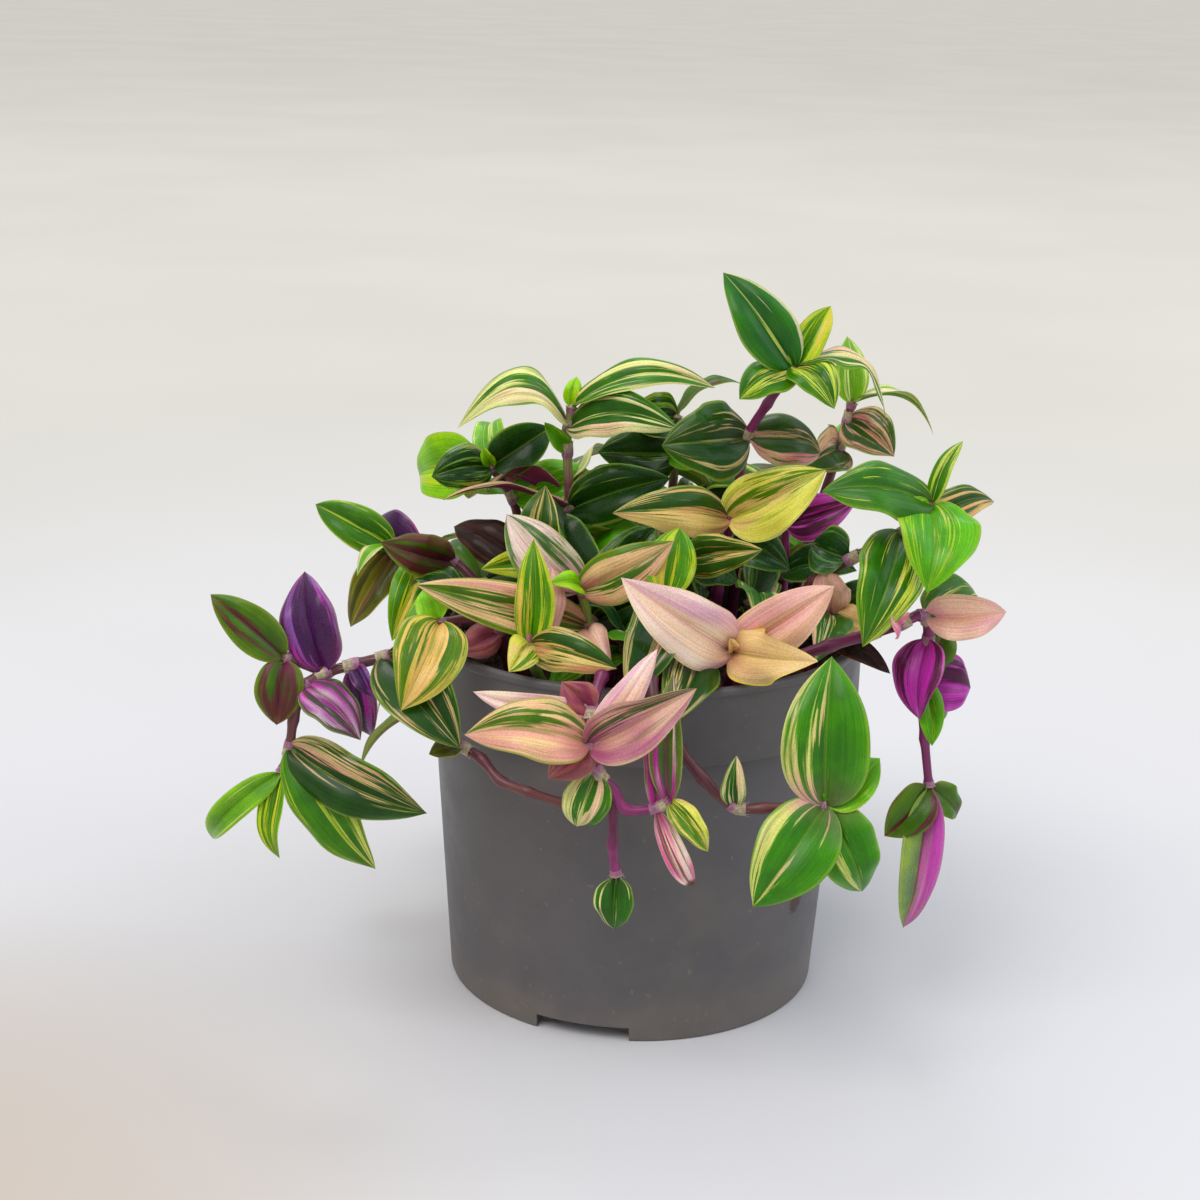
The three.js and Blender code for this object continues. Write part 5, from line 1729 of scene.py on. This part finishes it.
@dataclass(frozen=True)
class PotFinish(Finish):
    """Matt grey moulded plastic."""

    title: str = "pot_plastic_grey"
    base: Colour = paint(90, 87, 89)
    dust: Colour = paint(128, 118, 106)
    dust_share: float = 0.28
    smudge: Colour = paint(64, 38, 22)
    smudge_place: Point = (0.0431, -0.0295, 0.0313)
    smudge_reach: Span = (0.0036, 0.0022)
    rough: float = 0.44

    def surface(self, board: NodeBoard) -> Feeds:
        """Builds the plastic, with the brown smudge on its wall.

        Args:
            board: the material's board.

        Returns:
            What the shader takes, by input.
        """
        values = {"Base": self.base, "Dust": self.dust, "Dust Share": self.dust_share, "Rough": self.rough}
        skin = MouldedGrain().place(board, values)
        place = board.here()
        reach = board.apart(place, self.smudge_place)
        ragged = board.line(board.noise(place, 900.0, 3.0, 0.6), 0.004, reach)
        ragged = board.math("SUBTRACT", ragged, 0.0018)
        marked = board.times(board.remap(ragged, *self.smudge_reach), 0.85)
        return {
            "Base Color": board.mix(marked, skin["Colour"], self.smudge),
            "Roughness": skin["Roughness"],
            "Normal": board.bump(skin["Height"], 0.00012, 0.5),
            "Specular IOR Level": 0.4,
        }


@dataclass
class NurseryPot:
    """The plastic nursery pot: a tapering wall, a wider band below the lip, and a foot ring with notches."""

    rim_radius: float = 60.0
    height: float = 99.5
    foot_radius: float = 50.2
    wall: float = 1.6
    band_bottom: float = 78.7
    band_step: float = 3.2
    band_slope: float = 0.8
    lip_drop: float = 2.4
    lip_proud: float = 0.8
    lip_slope: float = 0.6
    floor_underside: float = 4.0
    foot_width: float = 4.5
    pad_radius: float = 15.0
    pad_slope: float = 3.0
    notch: Point = (11.25, 25.0, 7.9)
    notch_angle: float = -104.0
    notch_count: int = 3
    hole_radius: float = 3.5
    hole_ring: float = 30.0
    hole_count: int = 3
    hole_depth: float = 5.0
    sides: int = 160
    bend_points: int = 5
    finish: PotFinish = PotFinish()

    def wall_at(self, z: float) -> float:
        """Gives the outer radius of the wall at a height."""
        top = self.rim_radius - self.band_step
        return self.foot_radius + (top - self.foot_radius) * z / self.height

    def profile(self) -> list[Point]:
        """Gives the corners of the pot's section, each with the radius that rounds it.

        Returns:
            Reach, height and radius of each.
        """
        band = self.rim_radius - self.lip_proud
        inner = band - self.wall
        floor = self.floor_underside + self.wall
        step = self.band_bottom
        return [
            (self.pad_radius, 0, 0.5),
            (self.pad_radius + self.pad_slope, self.floor_underside, 0.5),
            (self.foot_radius - self.foot_width - 1, self.floor_underside, 0.5),
            (self.foot_radius - self.foot_width, 0, 0.5),
            (self.foot_radius, 0, 0.7),
            (self.wall_at(step), step, 0.5),
            (band, step + self.band_slope, 0.5),
            (band, self.height - self.lip_drop, 0.25),
            (self.rim_radius, self.height - self.lip_drop + self.lip_slope, 0.4),
            (self.rim_radius, self.height, 0.9),
            (inner, self.height, 0.6),
            (inner, step + self.wall, 0.5),
            (self.wall_at(step) - self.wall, step - self.wall, 0.5),
            (self.wall_at(floor) - self.wall, floor, 1.0),
            (self.pad_radius + self.pad_slope - self.wall, floor, 0.5),
            (self.pad_radius - self.wall, self.wall, 0.5),
        ]

    def rounded(self) -> list[Span]:
        """Gives the section with its corners rounded, from the axis out and back to it.

        Returns:
            Reach and height of each point.
        """
        ends = ((0.0, 0.0), (0.0, self.wall))
        corners = [ends[0], *self.profile(), ends[1]]
        line = [ends[0]]
        for before, (r, z, size), after in zip(corners, corners[1:], corners[2:]):
            here = np.array([r, z], float)
            start = here + unit(np.array(before[:2], float) - here) * size
            end = here + unit(np.array(after[:2], float) - here) * size
            for t in np.linspace(0, 1, self.bend_points):
                point = (1 - t) ** 2 * start + 2 * t * (1 - t) * here + t**2 * end
                line.append((float(point[0]), float(point[1])))
        line.append(ends[1])
        return line

    def shell(self) -> Piece:
        """Turns the section into the pot.

        Returns:
            The uncut pot.
        """
        line = self.rounded()
        form = bmesh.new()
        angles = [2 * math.pi * k / self.sides for k in range(self.sides)]
        first = form.verts.new((0, 0, line[0][1] * MM))
        last = form.verts.new((0, 0, line[-1][1] * MM))
        rings = [
            [form.verts.new((r * MM * math.cos(a), r * MM * math.sin(a), z * MM)) for a in angles]
            for r, z in line[1:-1]
        ]
        for k in range(self.sides):
            after = (k + 1) % self.sides
            form.faces.new((first, rings[0][after], rings[0][k]))
            form.faces.new((last, rings[-1][k], rings[-1][after]))
            for low, high in zip(rings, rings[1:]):
                form.faces.new((low[k], low[after], high[after], high[k]))
        bmesh.ops.recalc_face_normals(form, faces=form.faces)
        return object_of(form, "nursery_pot")

    def cutters(self) -> Piece:
        """Makes the blocks that cut the notches and the pins that cut the drain holes.

        Returns:
            All of them in one object.
        """
        form = bmesh.new()
        for k in range(self.notch_count):
            turn = Matrix.Rotation(math.radians(self.notch_angle + 360 * k / self.notch_count), 4, "Z")
            size = Matrix.Diagonal((*(side * MM for side in self.notch), 1.0))
            place = turn @ Matrix.Translation((self.foot_radius * MM, 0, 0)) @ size
            bmesh.ops.create_cube(form, size=1.0, matrix=place)
        radius = self.hole_radius * MM
        middle = (self.hole_ring * MM, 0, (self.floor_underside + self.wall / 2) * MM)
        for k in range(self.hole_count):
            turn = Matrix.Rotation(math.radians(360 * (k + 0.5) / self.hole_count), 4, "Z")
            place = turn @ Matrix.Translation(middle)
            bmesh.ops.create_cone(
                form, cap_ends=True, segments=32, radius1=radius, radius2=radius,
                depth=self.hole_depth * MM, matrix=place,
            )
        return object_of(form, "pot_cutters")

    def build(self) -> Piece:
        """Builds the pot's piece.

        Returns:
            The piece.
        """
        pot = self.shell()
        cutters = self.cutters()
        cut = pot.modifiers.new("cut", "BOOLEAN")
        cut.object = cutters
        cut.operation = "DIFFERENCE"
        cut.solver = "EXACT"
        pot = applied(pot)
        bpy.data.objects.remove(cutters)
        pot.data.polygons.foreach_set("use_smooth", [True] * len(pot.data.polygons))
        pot.data.set_sharp_from_angle(angle=math.radians(35))
        pot.data.materials.clear()
        pot.data.materials.append(self.finish.material())
        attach(pot, "root")
        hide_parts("pot")
        LOG.info("%s: %d faces", pot.name, len(pot.data.polygons))
        return pot


def object_of(form: bmesh.types.BMesh, title: str) -> Piece:
    """Makes an object of an edited mesh.

    Args:
        form: the edited mesh, which is freed.
        title: the object's name.

    Returns:
        The object.
    """
    mesh = bpy.data.meshes.new(title)
    form.to_mesh(mesh)
    form.free()
    return link(bpy.data.objects.new(title, mesh))


def applied(piece: Piece) -> Piece:
    """Applies an object's modifiers.

    Args:
        piece: the object.

    Returns:
        The same object with its final mesh.
    """
    bpy.context.view_layer.update()
    seen = piece.evaluated_get(bpy.context.evaluated_depsgraph_get())
    mesh = bpy.data.meshes.new_from_object(seen)
    piece.modifiers.clear()
    piece.data = mesh
    mesh.name = piece.name
    return piece


@dataclass(frozen=True)
class CrumbFinish(Finish):
    """A mineral or earthy surface with fine grain."""

    dark: Colour
    light: Colour
    scale: float
    depth: float

    def surface(self, board: NodeBoard) -> Feeds:
        """Builds the grain.

        Args:
            board: the material's board.

        Returns:
            What the shader takes, by input.
        """
        place = board.here()
        coarse = board.noise(place, self.scale, 5.0, 0.65)
        fine = board.noise(place, self.scale * 6, 3.0, 0.6)
        return {
            "Base Color": board.mix(board.remap(coarse, 0.35, 0.68), self.dark, self.light),
            "Roughness": board.remap(fine, 0.3, 0.7, 0.82, 0.98),
            "Normal": board.bump(board.line(coarse, 0.6, fine), self.depth, 0.9),
            "Specular IOR Level": 0.25,
        }


@dataclass
class PottingSoil:
    """The soil that fills the pot: a rough top with crumbs of peat and white grit."""

    wall_low: float = 47.8
    step_radius: float = 54.0
    band_radius: float = 56.6
    bottom: float = 6.0
    step_low: float = 77.0
    step_high: float = 81.1
    crown: float = 2.0
    sunk: float = 0.3
    lump_scale: float = 0.11
    lump_height: float = 0.8
    rings: int = 56
    ring_crowding: float = 0.8
    sides: int = 132
    crumbs: int = 460
    grit: int = 34
    grit_sizes: Span = (0.7, 1.3)
    crumb_sizes: Span = (0.45, 1.4)
    crumb_margin: float = 2.4
    crumb_raised: float = 0.25
    crumb_stretch: Span = (0.65, 1.25)
    crumb_relief: Span = (0.35, 1.3)
    seed: float = 0.3
    peat: CrumbFinish = CrumbFinish("soil_peat", paint(30, 22, 18), paint(82, 64, 50), 420.0, 0.0006)
    pearl: CrumbFinish = CrumbFinish("soil_grit", paint(186, 180, 168), paint(232, 228, 220), 700.0, 0.0003)

    def top_at(self, x: float, y: float) -> float:
        """Gives the height of the soil's top at a place.

        Args:
            x: the place, in millimetres.
            y: the place, in millimetres.

        Returns:
            The height, in millimetres.
        """
        share = min(1.0, math.hypot(x, y) / self.band_radius)
        lumps = noise.fractal(Vector((x * self.lump_scale, y * self.lump_scale, 4.2)), 0.9, 2.1, 4)
        return SOIL_TOP - self.crown * share**2 - self.sunk + self.lump_height * lumps

    def lump(self, draft: MeshDraft, centre: Point, size: float, pick: Draw, material: Material) -> None:
        """Adds one crumb.

        Args:
            draft: the piece.
            centre: where it lies.
            size: its radius.
            pick: the row of draws.
            material: its material.
        """
        form = bmesh.new()
        bmesh.ops.create_icosphere(form, subdivisions=2, radius=1.0)
        shift = Vector(pick.uniform(-50, 50, 3))
        scale = pick.uniform(*self.crumb_stretch, 3)
        points = []
        for vertex in form.verts:
            swell = 1 + self.crumb_relief[0] * noise.noise(vertex.co * self.crumb_relief[1] + shift)
            points.append([vertex.co[k] * swell * scale[k] * size + centre[k] for k in range(3)])
        faces = [[vertex.index for vertex in face.verts] for face in form.faces]
        form.free()
        first = draft.add(points, MIDDLE, float(pick.random()))
        draft.face([[first + k for k in corners] for corners in faces], material)

    def body(self, draft: MeshDraft, material: Material) -> None:
        """Adds the soil's wall, its underside and its rough top.

        Args:
            draft: the piece.
            material: its material.
        """
        angles = [2 * math.pi * k / self.sides for k in range(self.sides)]
        wall = (
            (self.wall_low, self.bottom),
            (self.step_radius, self.step_low),
            (self.band_radius, self.step_high),
        )
        points = [(r * math.cos(a), r * math.sin(a), z) for r, z in wall for a in angles]
        for k in range(self.rings, 0, -1):
            reach = self.band_radius * (k / self.rings) ** self.ring_crowding
            for a in angles:
                x, y = reach * math.cos(a), reach * math.sin(a)
                points.append((x, y, self.top_at(x, y)))
        first = draft.add(points, MIDDLE, self.seed)
        index = closed(first + np.arange(len(points)).reshape(-1, self.sides))
        draft.grid(index, material)
        ends = draft.add([(0, 0, self.bottom), (0, 0, self.top_at(0, 0))], MIDDLE, self.seed)
        draft.fan(index[0], ends, material, True)
        draft.fan(index[-1], ends + 1, material)

    def build(self) -> Piece:
        """Builds the soil's piece.

        Returns:
            The piece.
        """
        draft = MeshDraft()
        peat = self.peat.material()
        pearl = self.pearl.material()
        self.body(draft, peat)
        pick = np.random.default_rng(5)
        for k in range(self.crumbs + self.grit):
            white = k >= self.crumbs
            reach = (self.band_radius - self.crumb_margin) * math.sqrt(pick.random())
            turn = 2 * math.pi * pick.random()
            x, y = reach * math.cos(turn), reach * math.sin(turn)
            if white:
                size = pick.uniform(*self.grit_sizes)
            else:
                size = self.crumb_sizes[0] + self.crumb_sizes[1] * pick.random() ** 2
            centre = (x, y, self.top_at(x, y) + self.crumb_raised * size)
            self.lump(draft, centre, size, pick, pearl if white else peat)
        soil = draft.make("potting_soil", 180.0)
        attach(soil, "root")
        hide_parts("soil")
        LOG.info("%s: %d faces", soil.name, len(draft.faces))
        return soil


@dataclass(frozen=True)
class FloorFinish(Finish):
    """Pale paper with painted shade: warmer and darker at one side, and darker far off."""

    title: str = "floor_paper"
    warm: Colour = paint(176, 158, 136)
    pale: Colour = paint(206, 206, 211)
    # the painted shade that the paper takes far from the plant
    far: Colour = paint(196, 194, 188)
    corner: Point = (-0.2, -0.17, 0.0)
    turn: Span = (0.06, 0.22)
    fade: Span = (0.12, 0.85)

    def surface(self, board: NodeBoard) -> Feeds:
        """Builds the paper.

        Args:
            board: the material's board.

        Returns:
            What the shader takes, by input.
        """
        place = board.here()
        # painted shade: the paper is painted warmer and darker near one corner and darker far from the plant,
        # where the light falls off
        near = board.remap(board.apart(place, self.corner), *self.turn, 0.4, 1.0)
        painted_far_shade_share = board.remap(board.apart(place, (0.0, 0.0, 0.0)), *self.fade)
        tone = board.mix(painted_far_shade_share, board.mix(near, self.warm, self.pale), self.far)
        soft = board.remap(board.noise(place, 3.0, 2.0), 0.3, 0.7, 0.975, 1.015)
        return {"Base Color": board.shaded(tone, soft), "Roughness": 0.9, "Specular IOR Level": 0.0}


@dataclass
class Studio:
    """The pale floor, the soft light and the camera."""

    floor_reach: float = 24.0
    paper: FloorFinish = FloorFinish()
    middle: Point = (0.0, 0.0, 0.1)
    camera_place: Point = (0.0, -0.552, 0.2705)
    angles: Point = (-1.15, 16.75, 1.5)
    lens: float = 64.5
    sensor: float = 36.0

    def floor(self) -> Piece:
        """Lays the plain pale floor.

        Returns:
            The floor.
        """
        form = bmesh.new()
        bmesh.ops.create_circle(form, cap_ends=True, segments=96, radius=self.floor_reach)
        floor = object_of(form, "floor")
        floor.data.materials.append(self.paper.material())
        floor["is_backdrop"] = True
        return floor

    def lamp(self, title: str, kind: str, power: float, tint: Colour, way: Point) -> Piece:
        """Hangs a lamp that shines from one side.

        Args:
            title: its name.
            kind: its type.
            power: its strength.
            tint: its colour.
            way: where it stands, from the middle of the plant.

        Returns:
            The lamp.
        """
        light = bpy.data.lights.new(title, kind)
        light.energy = power
        light.color = tint
        lamp = link(bpy.data.objects.new(title, light))
        lamp.location = Vector(self.middle) + Vector(way)
        lamp.rotation_euler = Vector(way).to_track_quat("Z", "Y").to_euler()
        return lamp

    def sky(self) -> None:
        """Lights the world softly, warmer from the left, with an even backdrop behind the plant."""
        world = bpy.data.worlds.new("studio")
        bpy.context.scene.world = world
        world.use_nodes = True
        board = NodeBoard(world.node_tree)
        sky = next(node for node in world.node_tree.nodes if node.type == "BACKGROUND")
        parts = board.parts(board.add("ShaderNodeTexCoord").outputs["Generated"])
        side = board.remap(parts[0], -0.8, 0.8)
        strength = board.remap(parts[2], -0.1, 0.9, 0.44, 0.96)
        seen = board.add("ShaderNodeLightPath").outputs["Is Camera Ray"]
        backdrop = board.times(seen, board.math("SUBTRACT", 0.66, strength))
        colour = board.mix(side, (1.0, 0.955, 0.89), (0.9, 0.95, 1.0))
        board.feed(sky, {"Color": colour, "Strength": board.plus(strength, backdrop)})

    def lights(self) -> None:
        """Hangs the lamps."""
        sun = self.lamp("high_left", "SUN", 1.3, (1.0, 0.975, 0.94), (-0.45, -0.55, 1.0))
        sun.data.angle = math.radians(36)
        for lamp, size in (
            (self.lamp("window_behind", "AREA", 18.0, (0.96, 0.98, 1.0), (-0.3, 1.8, 2.8)), (1.2, 0.9)),
            (self.lamp("window_right", "AREA", 20.0, (0.9, 0.95, 1.0), (2.2, -0.2, 1.5)), (2.4, 2.0)),
        ):
            lamp.data.shape = "RECTANGLE"
            lamp.data.size, lamp.data.size_y = size

    def camera(self) -> Piece:
        """Sets the camera at the photograph's angle.

        Returns:
            The camera.
        """
        yaw, pitch, roll = (math.radians(angle) for angle in self.angles)
        level = math.cos(pitch)
        forward = Vector((math.sin(yaw) * level, math.cos(yaw) * level, -math.sin(pitch)))
        right = Vector((math.cos(yaw), -math.sin(yaw), 0))
        up = right.cross(forward)
        turned = right * math.cos(roll) + up * math.sin(roll)
        raised = up * math.cos(roll) - right * math.sin(roll)
        place = Matrix((turned, raised, -forward)).transposed().to_4x4()
        place.translation = Vector(self.camera_place)
        data = bpy.data.cameras.new("photo_camera")
        data.lens = self.lens
        data.sensor_width = self.sensor
        data.sensor_fit = "HORIZONTAL"
        data.clip_start = 0.01
        data.clip_end = 100.0
        camera = link(bpy.data.objects.new("photo_camera", data))
        camera.matrix_world = place
        bpy.context.scene.camera = camera
        return camera

    def build(self) -> None:
        """Sets up the studio."""
        bpy.context.scene.view_settings.view_transform = "Standard"
        self.camera()
        self.floor()
        self.sky()
        self.lights()
        LOG.info("studio: camera, floor and lights")


def write_sizes() -> None:
    """Gathers the solids' box and the dressed part's box as plain numbers."""
    boxes = {"cad": CAD_BOX, "visual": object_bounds()}
    plain = {name: [[float(value) for value in corner] for corner in box] for name, box in boxes.items()}


def main() -> None:
    """Builds the studio, the pot, the soil and every shoot, in that order."""
    logging.basicConfig(level=logging.INFO, format="%(name)s: %(message)s")
    Studio().build()
    NurseryPot().build()
    PottingSoil().build()
    plans = list(SHOOTS)
    for filling in FILLINGS:
        plans.extend(filling.shoots())
    for number, plan in enumerate(plans):
        Shoot(plan, number).build()
    write_sizes()


if __name__ == "__main__":
    main()
